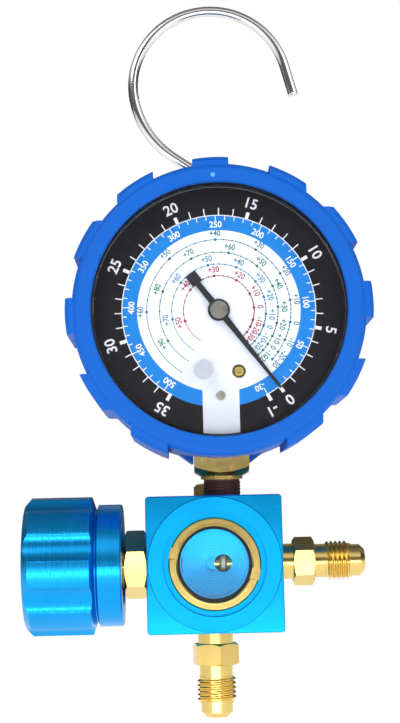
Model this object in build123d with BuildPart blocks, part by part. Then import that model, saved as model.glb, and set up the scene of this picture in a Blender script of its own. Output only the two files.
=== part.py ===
from build123d import *

# Single-valve refrigerant manifold gauge. Millimetres.
# +X runs along the valve and the side port, +Y to the back, +Z up the gauge.
# The origin is on the axis of the bottom flare port, at the port's end.

import os
from math import acos, atan2, cos, degrees, pi, radians, sin, sqrt, tan

# ---------------------------------------------------------------- driving dimensions

# Manifold block
BLOCK_WIDTH = 38.0
BLOCK_HEIGHT = 38.0
BLOCK_DEPTH = 32.0
BLOCK_EDGE = 1.0
FACE_BOSS_D = 36.9
FACE_BOSS_HEIGHT = 0.5

# 1/4 in flare ports, 7/16-20 UNF
FLARE_THREAD_D = 11.11
FLARE_THREAD_LENGTH = 7.5
FLARE_NOSE_D = 9.0
FLARE_NOSE_LENGTH = 3.9
FLARE_TIP_D = 6.2
FLARE_COLLAR_D = 9.5
FLARE_COLLAR_LENGTH = 3.0
FLARE_HEX_AF = 12.0
FLARE_HEX_LENGTH = 6.1
FLARE_NECK_D = 10.1
FLARE_NECK_LENGTH = 3.6
FLARE_SHANK_LENGTH = 8.0
FLARE_BORE_D = 4.8

# Valve
VALVE_BORE_D = 6.4
VALVE_BORE_LEFT = 9.0
BONNET_THREAD_D = 16.0
BONNET_THREAD_LENGTH = 9.5
BONNET_HEX_AF = 17.0
BONNET_HEX_LENGTH = 6.5
BONNET_NECK_D = 13.0
BONNET_NECK_LENGTH = 10.5
STEM_THREAD_D = 8.0
STEM_THREAD_LENGTH = 7.8
STEM_THREAD_PITCH = 1.0
STEM_TURNS = 3.0
STEM_D = 6.0
STEM_TIP_D = 5.0
STEM_SQUARE = 5.0
STEM_SQUARE_LENGTH = 8.0
SEAT_DISC_D = 4.6
SEAT_DISC_THICKNESS = 1.1
SEAT_X = 3.3
SEAT_GAP = 0.05
NIPPLE_D = 6.2
NIPPLE_BORE_D = 3.0
ORING_SECTION = 1.1

# Knob
KNOB_D = 39.2
KNOB_GRIP_LENGTH = 18.9
KNOB_COLLAR_D = KNOB_D - 4.6
KNOB_COLLAR_LENGTH = 7.3
KNOB_GROOVE_D = KNOB_D - 7.2
KNOB_GROOVE_LENGTH = 1.4
KNOB_FLUTES = 8
KNOB_FLUTE_R = 7.0
KNOB_FLUTE_DEPTH = 1.6
KNOB_FLUTE_START = 17.0
KNOB_RIM_CHAMFER = 2.0
KNOB_REAR_CAVITY_D = 23.0
KNOB_FRONT_RECESS_D = 24.0
KNOB_FRONT_RECESS_DEPTH = 3.5
KNOB_GAP = 0.4
KNOB_SCREW_D = 3.0

# Sight glass
WELL_MOUTH_D = 28.9
WELL_MOUTH_DEPTH = 1.4
SIGHT_RING_D = 25.7
SIGHT_RING_BORE_D = 20.9
SIGHT_RING_THICKNESS = 2.8
SIGHT_RING_PROUD = 0.8
SIGHT_SLOT_WIDTH = 3.2
SIGHT_SLOT_DEPTH = 1.1
SIGHT_SLOT_ANGLE = -15.0
SIGHT_GLASS_THICKNESS = 3.0
SIGHT_GASKET_THICKNESS = 1.0
SIGHT_GASKET_BORE_D = 19.4
SIGHT_WELL_D = 18.6
SIGHT_WELL_DEPTH = 2.4
SIGHT_FLOOR_SLOPE = 1.1

# Hanging hook
WIRE_D = 3.0
HOOK_Y = 10.8
HOOK_NUT_AF = 9.0
HOOK_NUT_HEIGHT = 4.0
HOOK_NUT_THREAD_D = 6.0
HOOK_NUT_THREAD_LENGTH = 6.0
HOOK_HEAD_D = 4.8
HOOK_HEAD_HEIGHT = 1.6
HOOK_BEND_DROP = 2.0
HOOK_BEND_R = 9.0
HOOK_BEND_ANGLE = 55.0
HOOK_RUN = 6.4
HOOK_LEAD_R = 28.0
HOOK_LEAD_ANGLE = 45.0
HOOK_RING_R = 23.6
HOOK_RING_ANGLE = 175.0
HOOK_TIP_LENGTH = 10.0

# Pressure gauge: case, boot, lens and dial
GAUGE_X = 2.8
GAUGE_Y = -3.0
CASE_D = 76.6
SOCKET_EXPOSED_HEIGHT = 13.1
CASE_WALL = 0.8
CASE_FRONT = 19.6
CASE_BACK = 10.2
BOOT_WALL = 2.55
BOOT_LIP = 2.2
BOOT_LENS_OVERLAP = 2.7
BOOT_BACK_LIP = 1.5
BOOT_BACK_OVERLAP = 7.3
BOOT_FRONT_BEVEL = 1.9
BOOT_LUGS = 12
BOOT_LUG_HEIGHT = 1.9
BOOT_LUG_WIDTH = 10.1
BOOT_LUG_TURN = 2.0
BOOT_LUG_CHAMFER = 1.1
LENS_THICKNESS = 2.3
LENS_GASKET = 0.8
DIAL_THICKNESS = 0.6
DIAL_DEPTH = 5.2
DIAL_SHAFT_HOLE_D = 4.0
DIAL_SCREW_RADIUS = 23.9
DIAL_EDGE_GAP = 0.7
CALIBRATION_U = 5.2
CALIBRATION_W = -17.2
CALIBRATION_HOLE_D = 3.9
CALIBRATION_SCREW_D = 2.7
PLUG_U = -4.7
PLUG_W = -16.9
PLUG_D = 5.4

# Gauge socket, 1/8 NPT
SOCKET_SQUARE = 15.5
SOCKET_NPT_D = 10.2
SOCKET_NPT_ENGAGED = 8.0
SOCKET_NPT_EXPOSED = 4.9
SOCKET_RIM_D = 11.9
SOCKET_RIM_HEIGHT = 0.7
SOCKET_CONE_ANGLE = 27.0
SOCKET_INNER_WIDTH = 14.0
SOCKET_INNER_DEPTH = 8.4
SOCKET_BORE_D = 3.0
SEAL_THICKNESS = 0.25

# Movement
GEAR_MODULE = 0.35
PINION_TEETH = 10
SECTOR_FULL_TEETH = 80
PRESSURE_ANGLE = 25.0
ADDENDUM = 0.85
DEDENDUM = 1.05
BACKLASH = 0.05
MESH_ANGLE = 68.0
SECTOR_CW = 36.5
SECTOR_CCW = 1.1
TAIL_ARM = 5.5
TAIL_MIDDLE_ANGLE = -110.0
BACK_PLATE_THICKNESS = 1.0
FRONT_PLATE_THICKNESS = 1.0
PLATE_SPACING = 5.3
PILLAR_D = 3.0
SECTOR_THICKNESS = 1.0
PINION_LENGTH = 1.8
PIVOT_D = 1.0
PIVOT_CLEARANCE = 0.05
LINK_PIN_D = 1.2
LINK_CLEARANCE = 0.3
LINK_THICKNESS = 0.6
TUBE_CASE_GAP = 10.5
TUBE_WIDTH = 7.0
TUBE_THICKNESS = 2.4
TUBE_WALL = 0.35
TUBE_START = -87.0
TUBE_SWEEP = 299.0
TIP_PIN_ANGLE = 214.5
SPRING_TURNS = 4
SPRING_INNER_R = 1.4
SPRING_PITCH = 0.95
SPRING_STRIP = 0.15
SPRING_WIDTH = 0.8

# Pointer
POINTER_ANGLE = -53.0
POINTER_LENGTH = 28.0
POINTER_TAIL = 13.0
POINTER_HUB_D = 6.2
POINTER_ROOT_WIDTH = 1.9
POINTER_TIP_WIDTH = 0.7
POINTER_THICKNESS = 0.45
POINTER_TAIL_BLOCK = 3.2
POINTER_CAP_D = 5.0
SHAFT_D = 1.4

# ---------------------------------------------------------------- derived places

RUN = 0.05
PORT_LENGTH = (FLARE_NECK_LENGTH + FLARE_HEX_LENGTH + FLARE_COLLAR_LENGTH
               + FLARE_THREAD_LENGTH + FLARE_NOSE_LENGTH)
BLOCK_BOTTOM = PORT_LENGTH
BLOCK_TOP = BLOCK_BOTTOM + BLOCK_HEIGHT
VALVE_Z = BLOCK_BOTTOM + BLOCK_HEIGHT / 2
BLOCK_SIDE = BLOCK_WIDTH / 2
FACE_Y = -BLOCK_DEPTH / 2
CASE_R = CASE_D / 2
GAUGE_Z = BLOCK_TOP + SOCKET_EXPOSED_HEIGHT + CASE_R

VALVE_AXIS = Axis((0, 0, VALVE_Z), (1, 0, 0))
PORT_AXIS = Axis((0, 0, 0), (0, 0, 1))
SIGHT_AXIS = Axis((0, 0, VALVE_Z), (0, 1, 0))
HOOK_AXIS = Axis((0, HOOK_Y, 0), (0, 0, 1))
GAUGE_AXIS = Axis((GAUGE_X, 0, GAUGE_Z), (0, 1, 0))
SOCKET_AXIS = Axis((GAUGE_X, GAUGE_Y, 0), (0, 0, 1))
TUBE_AXIS = Axis((GAUGE_X, GAUGE_Y, GAUGE_Z), (0, -1, 0))

VALVE_PLANE = Plane.XY.offset(VALVE_Z)
SIGHT_PLANE = Plane((0, 0, VALVE_Z))
GAUGE_PLANE = Plane((GAUGE_X, 0, GAUGE_Z))
SOCKET_PLANE = Plane((GAUGE_X, GAUGE_Y, 0), x_dir=(1, 0, 0), z_dir=(0, -1, 0))
HOOK_PLANE = Plane((0, HOOK_Y, 0), x_dir=(1, 0, 0), z_dir=(0, -1, 0))

# Gauge layers along Y, front to back
CASE_RIM_Y = GAUGE_Y - CASE_FRONT
CASE_BACK_Y = GAUGE_Y + CASE_BACK
LENS_FRONT_Y = CASE_RIM_Y - 0.5
BOOT_FRONT_Y = LENS_FRONT_Y - BOOT_LIP
BOOT_BACK_Y = CASE_BACK_Y + 0.1 + BOOT_BACK_LIP
DIAL_Y = LENS_FRONT_Y + DIAL_DEPTH
DIAL_BACK_Y = DIAL_Y + DIAL_THICKNESS
SOCKET_FRONT_Y = GAUGE_Y - SOCKET_INNER_DEPTH / 2
SOCKET_BACK_Y = GAUGE_Y + SOCKET_INNER_DEPTH / 2
BACK_PLATE_Y = SOCKET_FRONT_Y - BACK_PLATE_THICKNESS
FRONT_PLATE_BACK_Y = BACK_PLATE_Y - PLATE_SPACING
FRONT_PLATE_Y = FRONT_PLATE_BACK_Y - FRONT_PLATE_THICKNESS
SECTOR_Y = BACK_PLATE_Y - 3.2
PINION_Y = SECTOR_Y - 0.4
LINK_Y = SECTOR_Y + SECTOR_THICKNESS + 0.1
SPRING_Y = FRONT_PLATE_BACK_Y + 0.4
POINTER_Y = DIAL_Y - 0.9
CASE_INNER_R = CASE_R - CASE_WALL
BOOT_OPENING_R = CASE_R - BOOT_LENS_OVERLAP
BOOT_BACK_OPENING_R = CASE_R - BOOT_BACK_OVERLAP
BOOT_INNER_R = CASE_R + 0.05
BOOT_R = BOOT_INNER_R + BOOT_WALL
LUG_R = BOOT_R + BOOT_LUG_HEIGHT
LENS_R = CASE_INNER_R - 0.15
LENS_INNER_R = BOOT_OPENING_R - 0.1
DIAL_R = CASE_INNER_R - DIAL_EDGE_GAP
TUBE_R = CASE_INNER_R - TUBE_CASE_GAP

# Movement points, as (u, w) from the dial centre
PINION_R = GEAR_MODULE * PINION_TEETH / 2
SECTOR_R = GEAR_MODULE * SECTOR_FULL_TEETH / 2
CENTRE_DISTANCE = PINION_R + SECTOR_R


def polar(radius, angle):
    return (radius * cos(radians(angle)), radius * sin(radians(angle)))


def shifted(point, radius, angle):
    step = polar(radius, angle)
    return (point[0] + step[0], point[1] + step[1])


SECTOR_AT = polar(CENTRE_DISTANCE, MESH_ANGLE + 180)
TAIL_REST_ANGLE = TAIL_MIDDLE_ANGLE + SECTOR_CW / 2
TAIL_AT = shifted(SECTOR_AT, TAIL_ARM, TAIL_REST_ANGLE)
TIP_AT = polar(TUBE_R, TIP_PIN_ANGLE)
PILLARS = [(6.2, -22.0), (-12.7, -4.2), (-7.0, -25.9)]
PLATE_SCREWS = [(-3.6, -24.2), (3.6, -24.2)]
CASE_SCREW_SPREAD = 4.0
CASE_SCREW_W = -CASE_R + 4.8


# ---------------------------------------------------------------- helpers

def facing(y):
    """Plane seen from the front at depth y: local x is +X, local y is +Z, normal -Y."""
    return Plane((GAUGE_X, y, GAUGE_Z), x_dir=(1, 0, 0), z_dir=(0, -1, 0))


def block_facing(y):
    return Plane((0, y, VALVE_Z), x_dir=(1, 0, 0), z_dir=(0, -1, 0))


def tube_plane(angle):
    """Plane across the Bourdon tube: local x runs out from the dial centre, local y is +Y."""
    turn = radians(angle)
    return Plane((GAUGE_X, GAUGE_Y, GAUGE_Z), x_dir=(cos(turn), 0, sin(turn)), z_dir=(-sin(turn), 0, cos(turn)))


def outline(plane, points):
    """Closed straight-sided face on a plane."""
    with BuildSketch(plane) as sketch:
        with BuildLine():
            Polyline(*points, close=True)
        make_face()
    return sketch.sketch


def finish(builder, label):
    """Label a finished sub-part and write its file."""
    builder.part.label = label
    export_step(builder.part, f"parts/{label}.step")


def involute(angle):
    return tan(angle) - angle


def tooth_half_angle(teeth, radius, backlash):
    """Half the angle that a tooth spans at a radius, in degrees."""
    pitch_r = GEAR_MODULE * teeth / 2
    base_r = pitch_r * cos(radians(PRESSURE_ANGLE))
    at_radius = involute(acos(min(1.0, base_r / radius)))
    at_pitch = involute(radians(PRESSURE_ANGLE))
    return degrees(pi / (2 * teeth) - backlash / 2 / pitch_r + at_pitch - at_radius)


def toothed_edge(teeth, centres):
    """Draw the toothed edge over the tooth centres given, in degrees. Returns its two end points."""
    pitch_r = GEAR_MODULE * teeth / 2
    base_r = pitch_r * cos(radians(PRESSURE_ANGLE))
    root_r = pitch_r - GEAR_MODULE * DEDENDUM
    tip_r = pitch_r + GEAR_MODULE * ADDENDUM
    foot_r = max(root_r, base_r)
    middle_r = (foot_r + tip_r) / 2
    foot, middle, tip = (tooth_half_angle(teeth, r, BACKLASH) for r in (foot_r, middle_r, tip_r))
    first = last = None
    for centre in centres:
        start = polar(root_r, centre - foot)
        if last:
            Line(last, start)
        else:
            first = start
        if foot_r > root_r:
            Line(start, polar(foot_r, centre - foot))
        ThreePointArc(polar(foot_r, centre - foot), polar(middle_r, centre - middle),
                      polar(tip_r, centre - tip))
        Line(polar(tip_r, centre - tip), polar(tip_r, centre + tip))
        ThreePointArc(polar(tip_r, centre + tip), polar(middle_r, centre + middle),
                      polar(foot_r, centre + foot))
        last = polar(root_r, centre + foot)
        if foot_r > root_r:
            Line(polar(foot_r, centre + foot), last)
    return first, last


def flare_profile(start, direction):
    """Half section of a flare port's outside, as (axial, radial) points from the block outwards."""
    stations = [(0, FLARE_NECK_D / 2)]
    reach = FLARE_NECK_LENGTH
    stations.append((reach, FLARE_NECK_D / 2))
    reach += FLARE_HEX_LENGTH
    stations.append((FLARE_NECK_LENGTH, FLARE_COLLAR_D / 2))
    reach += FLARE_COLLAR_LENGTH
    stations += [(reach, FLARE_COLLAR_D / 2), (reach + 0.5, FLARE_THREAD_D / 2)]
    reach += FLARE_THREAD_LENGTH
    stations += [(reach - 0.8, FLARE_THREAD_D / 2), (reach, FLARE_NOSE_D / 2)]
    reach += FLARE_NOSE_LENGTH
    chamfer = (FLARE_NOSE_D - FLARE_TIP_D) / 2
    stations += [(reach - chamfer, FLARE_NOSE_D / 2), (reach, FLARE_TIP_D / 2)]
    return [(start + direction * along, radius) for along, radius in stations]


def hex_prism(plane, across_flats, length, turn):
    """Hexagonal length with both ends chamfered at 30 degrees to its flats."""
    corner_r = across_flats / sqrt(3)
    chamfer_r = across_flats / 2 * 0.98
    drop = (corner_r - chamfer_r) * tan(radians(30))
    with BuildPart() as prism:
        with BuildSketch():
            RegularPolygon(across_flats / 2, 6, major_radius=False, rotation=turn)
        extrude(amount=length)
        with BuildSketch(Plane.XZ):
            with BuildLine():
                Polyline((0, 0), (chamfer_r, 0), (corner_r + 0.01, drop), (corner_r + 0.01, length - drop),
                         (chamfer_r, length), (0, length), close=True)
            make_face()
        revolve(axis=Axis.Z, mode=Mode.INTERSECT)
    return plane * prism.part


os.makedirs("parts", exist_ok=True)

# ---------------------------------------------------------------- manifold block

WELL_THREAD_R = SIGHT_RING_D / 2 + RUN
SIGHT_RING_Y = FACE_Y + SIGHT_RING_PROUD
GLASS_Y = SIGHT_RING_Y + SIGHT_RING_THICKNESS
GASKET_Y = GLASS_Y + SIGHT_GLASS_THICKNESS
LEDGE_Y = GASKET_Y + SIGHT_GASKET_THICKNESS
FLOOR_RIM_Y = LEDGE_Y + SIGHT_WELL_DEPTH
FLOOR_Y = FLOOR_RIM_Y + SIGHT_FLOOR_SLOPE
PASSAGE_D = 5.0
BLIND_HOLE_D = 4.2
BLIND_HOLE_X = -0.1
PASSAGE_X = 2.6
GAUGE_PASSAGE_D = 3.0
PORT_PASSAGE_D = 4.0
HOOK_POCKET_DEPTH = 9.5
ORING_GROOVE_OUTER_R = BONNET_THREAD_D / 2 + 1.3
ORING_GROOVE_DEPTH = 1.1

with BuildPart() as manifold_block:
    with BuildSketch(block_facing(FACE_Y + FACE_BOSS_HEIGHT)):
        Rectangle(BLOCK_WIDTH, BLOCK_HEIGHT)
    extrude(amount=-(BLOCK_DEPTH - FACE_BOSS_HEIGHT))
    fillet(manifold_block.edges().filter_by(Axis.Y), BLOCK_EDGE)
    chamfer(manifold_block.faces().filter_by(Axis.Y).edges(), 0.3)
    with BuildSketch(block_facing(FACE_Y + FACE_BOSS_HEIGHT)):
        Circle(FACE_BOSS_D / 2)
    extrude(amount=FACE_BOSS_HEIGHT)
    # Sight-glass well with its drill-point floor
    revolve(outline(SIGHT_PLANE, [
        (0, FACE_Y - 1), (WELL_MOUTH_D / 2, FACE_Y - 1), (WELL_MOUTH_D / 2, FACE_Y + WELL_MOUTH_DEPTH),
        (WELL_THREAD_R, FACE_Y + WELL_MOUTH_DEPTH), (WELL_THREAD_R, LEDGE_Y), (SIGHT_WELL_D / 2, LEDGE_Y),
        (SIGHT_WELL_D / 2, FLOOR_RIM_Y), (0, FLOOR_Y)]), axis=SIGHT_AXIS, mode=Mode.SUBTRACT)
    # Oblong opening of the well floor: a blind drilling beside the passage to the valve
    with BuildSketch(block_facing(0)):
        with Locations((PASSAGE_X, 0)):
            Circle(PASSAGE_D / 2)
    extrude(amount=-FLOOR_RIM_Y, mode=Mode.SUBTRACT)
    with BuildSketch(block_facing(FLOOR_Y + 1.0)):
        with Locations((BLIND_HOLE_X, 0)):
            Circle(BLIND_HOLE_D / 2)
    extrude(amount=FLOOR_Y + 1.0 - FLOOR_RIM_Y, mode=Mode.SUBTRACT)
    # Valve bore, bonnet thread, bonnet seal groove and side port
    side = BLOCK_SIDE + 1
    revolve(outline(VALVE_PLANE, [
        (-side, 0), (-side, ORING_GROOVE_OUTER_R), (-BLOCK_SIDE + ORING_GROOVE_DEPTH, ORING_GROOVE_OUTER_R),
        (-BLOCK_SIDE + ORING_GROOVE_DEPTH, BONNET_THREAD_D / 2), (-VALVE_BORE_LEFT, BONNET_THREAD_D / 2),
        (-VALVE_BORE_LEFT, VALVE_BORE_D / 2), (BLOCK_SIDE - FLARE_SHANK_LENGTH, VALVE_BORE_D / 2),
        (BLOCK_SIDE - FLARE_SHANK_LENGTH, FLARE_NECK_D / 2), (side, FLARE_NECK_D / 2), (side, 0)]),
        axis=VALVE_AXIS, mode=Mode.SUBTRACT)
    # Bottom port
    with BuildSketch(Plane.XY.offset(BLOCK_BOTTOM)):
        Circle(FLARE_NECK_D / 2)
    extrude(amount=FLARE_SHANK_LENGTH, mode=Mode.SUBTRACT)
    with BuildSketch(Plane.XY.offset(BLOCK_BOTTOM)):
        Circle(PORT_PASSAGE_D / 2)
    extrude(amount=BLOCK_HEIGHT / 2, mode=Mode.SUBTRACT)
    # Gauge port and its passage
    with BuildSketch(Plane.XY.offset(BLOCK_TOP)):
        with Locations((GAUGE_X, GAUGE_Y)):
            Circle(SOCKET_NPT_D / 2)
    extrude(amount=-SOCKET_NPT_ENGAGED, mode=Mode.SUBTRACT)
    with BuildSketch(Plane.XY.offset(BLOCK_TOP)):
        with Locations((GAUGE_X, GAUGE_Y)):
            Circle(GAUGE_PASSAGE_D / 2)
    extrude(amount=-BLOCK_HEIGHT / 2, mode=Mode.SUBTRACT)
    # Hook pocket
    with BuildSketch(Plane.XY.offset(BLOCK_TOP)):
        with Locations((0, HOOK_Y)):
            Circle(HOOK_NUT_THREAD_D / 2)
    extrude(amount=-HOOK_POCKET_DEPTH, mode=Mode.SUBTRACT)
finish(manifold_block, "manifold_block")

# ---------------------------------------------------------------- sight glass

with BuildPart() as sight_ring:
    with BuildSketch(block_facing(SIGHT_RING_Y + SIGHT_RING_THICKNESS)):
        Circle(SIGHT_RING_D / 2)
        Circle(SIGHT_RING_BORE_D / 2, mode=Mode.SUBTRACT)
    extrude(amount=SIGHT_RING_THICKNESS)
    chamfer(sight_ring.faces().sort_by(Axis.Y)[0].edges(), 0.35)
    with BuildSketch(block_facing(SIGHT_RING_Y + SIGHT_SLOT_DEPTH)):
        Rectangle(SIGHT_RING_D + 2, SIGHT_SLOT_WIDTH, rotation=SIGHT_SLOT_ANGLE)
    extrude(amount=SIGHT_SLOT_DEPTH + 1, mode=Mode.SUBTRACT)
finish(sight_ring, "sight_ring")

with BuildPart() as sight_glass:
    with BuildSketch(block_facing(GASKET_Y)):
        Circle(SIGHT_RING_D / 2 - 0.3)
    extrude(amount=SIGHT_GLASS_THICKNESS)
finish(sight_glass, "sight_glass")

with BuildPart() as sight_gasket:
    with BuildSketch(block_facing(LEDGE_Y)):
        Circle(SIGHT_RING_D / 2 - 0.3)
        Circle(SIGHT_GASKET_BORE_D / 2, mode=Mode.SUBTRACT)
    extrude(amount=SIGHT_GASKET_THICKNESS)
finish(sight_gasket, "sight_gasket")

# ---------------------------------------------------------------- flare ports

SIDE_HEX_TURN = 33.0
BOTTOM_HEX_TURN = 40.0

side_hex = Plane((BLOCK_SIDE + FLARE_NECK_LENGTH, 0, VALVE_Z), x_dir=(0, 1, 0), z_dir=(1, 0, 0))
side_hexagon = hex_prism(side_hex, FLARE_HEX_AF, FLARE_HEX_LENGTH, SIDE_HEX_TURN)

with BuildPart() as right_port:
    side_profile = flare_profile(BLOCK_SIDE, 1)
    end_x = side_profile[-1][0]
    shank_x = BLOCK_SIDE - FLARE_SHANK_LENGTH
    revolve(outline(VALVE_PLANE, [
        (SEAT_X, NIPPLE_BORE_D / 2), (SEAT_X, NIPPLE_BORE_D / 2 + 0.5), (SEAT_X + 0.5, NIPPLE_BORE_D / 2 + 1.0),
        (SEAT_X + 0.5, NIPPLE_D / 2), (shank_x, NIPPLE_D / 2), (shank_x, FLARE_NECK_D / 2)]
        + side_profile + [(end_x, FLARE_BORE_D / 2), (shank_x, FLARE_BORE_D / 2), (shank_x, NIPPLE_BORE_D / 2)]),
        axis=VALVE_AXIS)
    add(side_hexagon)
    with BuildSketch(side_hex):
        Circle(FLARE_BORE_D / 2)
    extrude(amount=FLARE_HEX_LENGTH, mode=Mode.SUBTRACT)
finish(right_port, "right_port")

hex_z = BLOCK_BOTTOM - FLARE_NECK_LENGTH - FLARE_HEX_LENGTH
bottom_hexagon = hex_prism(Plane.XY.offset(hex_z), FLARE_HEX_AF, FLARE_HEX_LENGTH, BOTTOM_HEX_TURN)

with BuildPart() as bottom_port:
    down_profile = [(radius, along) for along, radius in flare_profile(BLOCK_BOTTOM, -1)]
    shank_z = BLOCK_BOTTOM + FLARE_SHANK_LENGTH
    revolve(outline(Plane.XZ, [(FLARE_BORE_D / 2, shank_z), (FLARE_NECK_D / 2, shank_z)] + down_profile
                    + [(FLARE_BORE_D / 2, 0)]), axis=PORT_AXIS)
    add(bottom_hexagon)
    with BuildSketch(Plane.XY.offset(hex_z)):
        Circle(FLARE_BORE_D / 2)
    extrude(amount=FLARE_HEX_LENGTH, mode=Mode.SUBTRACT)
finish(bottom_port, "bottom_port")

# ---------------------------------------------------------------- valve

BONNET_HEX_X = -BLOCK_SIDE - BONNET_HEX_LENGTH
BONNET_END_X = BONNET_HEX_X - BONNET_NECK_LENGTH
BONNET_TURN = 37.0
STEM_TIP_X = SEAT_X - SEAT_GAP - SEAT_DISC_THICKNESS - SEAT_GAP
STEM_THREAD_X = -BLOCK_SIDE + BONNET_THREAD_LENGTH - 1.2
STEM_LIFT = STEM_TURNS * STEM_THREAD_PITCH
THREAD_BORE_END_X = STEM_THREAD_X - STEM_THREAD_LENGTH - STEM_LIFT - 0.8
ORING_X = [BONNET_HEX_X - 1.5, BONNET_HEX_X - 5.5]
ORING_MINOR_R = ORING_SECTION / 2
STEM_ORING_R = STEM_D / 2 + RUN + ORING_MINOR_R
KNOB_BACK_X = BONNET_HEX_X - KNOB_GAP
KNOB_WEB_X = BONNET_END_X - 2.0
KNOB_FRONT_X = KNOB_BACK_X - KNOB_COLLAR_LENGTH - KNOB_GROOVE_LENGTH - KNOB_GRIP_LENGTH
KNOB_HUB_X = KNOB_FRONT_X + KNOB_FRONT_RECESS_DEPTH

bonnet_hex = Plane((BONNET_HEX_X, 0, VALVE_Z), x_dir=(0, 1, 0), z_dir=(1, 0, 0))
bonnet_hexagon = hex_prism(bonnet_hex, BONNET_HEX_AF, BONNET_HEX_LENGTH, BONNET_TURN)

with BuildPart() as valve_bonnet:
    revolve(outline(VALVE_PLANE, [
        (BONNET_END_X, STEM_D / 2 + RUN), (BONNET_END_X, BONNET_NECK_D / 2 - 0.6),
        (BONNET_END_X + 0.6, BONNET_NECK_D / 2), (BONNET_HEX_X, BONNET_NECK_D / 2),
        (-BLOCK_SIDE, BONNET_NECK_D / 2), (-BLOCK_SIDE, BONNET_THREAD_D / 2),
        (-BLOCK_SIDE + BONNET_THREAD_LENGTH, BONNET_THREAD_D / 2),
        (-BLOCK_SIDE + BONNET_THREAD_LENGTH, STEM_THREAD_D / 2),
        (THREAD_BORE_END_X, STEM_THREAD_D / 2), (THREAD_BORE_END_X, STEM_D / 2 + RUN)]), axis=VALVE_AXIS)
    add(bonnet_hexagon)
    revolve(outline(VALVE_PLANE, [
        (BONNET_HEX_X - 0.01, 0), (BONNET_HEX_X - 0.01, STEM_D / 2 + RUN), (THREAD_BORE_END_X, STEM_D / 2 + RUN),
        (THREAD_BORE_END_X, STEM_THREAD_D / 2), (-BLOCK_SIDE + 0.01, STEM_THREAD_D / 2),
        (-BLOCK_SIDE + 0.01, 0)]), axis=VALVE_AXIS, mode=Mode.SUBTRACT)
    for ring_x in ORING_X:
        with BuildSketch(Plane((ring_x - ORING_SECTION / 2 - 0.2, 0, VALVE_Z), x_dir=(0, 1, 0), z_dir=(1, 0, 0))):
            Circle(STEM_ORING_R + ORING_MINOR_R + 0.05)
        extrude(amount=ORING_SECTION + 0.4, mode=Mode.SUBTRACT)
finish(valve_bonnet, "valve_bonnet")

with BuildPart() as bonnet_oring:
    with BuildSketch(VALVE_PLANE):
        with Locations((-BLOCK_SIDE + ORING_MINOR_R, BONNET_THREAD_D / 2 + ORING_MINOR_R + 0.1)):
            Circle(ORING_MINOR_R)
    revolve(axis=VALVE_AXIS)
finish(bonnet_oring, "bonnet_oring")

with BuildPart() as stem_orings:
    with BuildSketch(VALVE_PLANE):
        with Locations(*[(ring_x, STEM_ORING_R) for ring_x in ORING_X]):
            Circle(ORING_MINOR_R)
    revolve(axis=VALVE_AXIS)
finish(stem_orings, "stem_orings")

with BuildPart() as valve_stem:
    thread_end_x = STEM_THREAD_X - STEM_THREAD_LENGTH
    revolve(outline(VALVE_PLANE, [
        (KNOB_WEB_X, 0), (KNOB_WEB_X, STEM_D / 2), (thread_end_x, STEM_D / 2),
        (thread_end_x, STEM_THREAD_D / 2 - RUN), (STEM_THREAD_X, STEM_THREAD_D / 2 - RUN),
        (STEM_THREAD_X, STEM_TIP_D / 2), (STEM_TIP_X - 0.6, STEM_TIP_D / 2), (STEM_TIP_X, STEM_TIP_D / 2 - 0.6),
        (STEM_TIP_X, 0)]), axis=VALVE_AXIS)
    with BuildSketch(Plane((KNOB_WEB_X, 0, VALVE_Z), x_dir=(0, 1, 0), z_dir=(-1, 0, 0))):
        Rectangle(STEM_SQUARE, STEM_SQUARE)
    extrude(amount=STEM_SQUARE_LENGTH)
    # Pocket of the swivelling seat disc, and the tapped hole of the knob screw
    with BuildSketch(Plane((STEM_TIP_X, 0, VALVE_Z), x_dir=(0, 1, 0), z_dir=(-1, 0, 0))):
        Circle(SEAT_DISC_D / 4 + RUN)
    extrude(amount=1.8, mode=Mode.SUBTRACT)
    with BuildSketch(Plane((KNOB_WEB_X - STEM_SQUARE_LENGTH, 0, VALVE_Z), x_dir=(0, 1, 0), z_dir=(1, 0, 0))):
        Circle(KNOB_SCREW_D / 2)
    extrude(amount=7.0, mode=Mode.SUBTRACT)
finish(valve_stem, "valve_stem")

with BuildPart() as seat_disc:
    disc_x = SEAT_X - SEAT_GAP - SEAT_DISC_THICKNESS
    revolve(outline(VALVE_PLANE, [
        (disc_x - 1.4, 0), (disc_x - 1.4, SEAT_DISC_D / 4), (disc_x, SEAT_DISC_D / 4), (disc_x, SEAT_DISC_D / 2),
        (disc_x + SEAT_DISC_THICKNESS, SEAT_DISC_D / 2), (disc_x + SEAT_DISC_THICKNESS, 0)]), axis=VALVE_AXIS)
finish(seat_disc, "seat_disc")

# ---------------------------------------------------------------- knob

KNOB_END = Plane((KNOB_FRONT_X, 0, VALVE_Z), x_dir=(0, -1, 0), z_dir=(1, 0, 0))
FLUTE_CENTRE_R = KNOB_D / 2 - KNOB_FLUTE_DEPTH + KNOB_FLUTE_R
HUB_HOLE_D = KNOB_SCREW_D + 0.4

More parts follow.
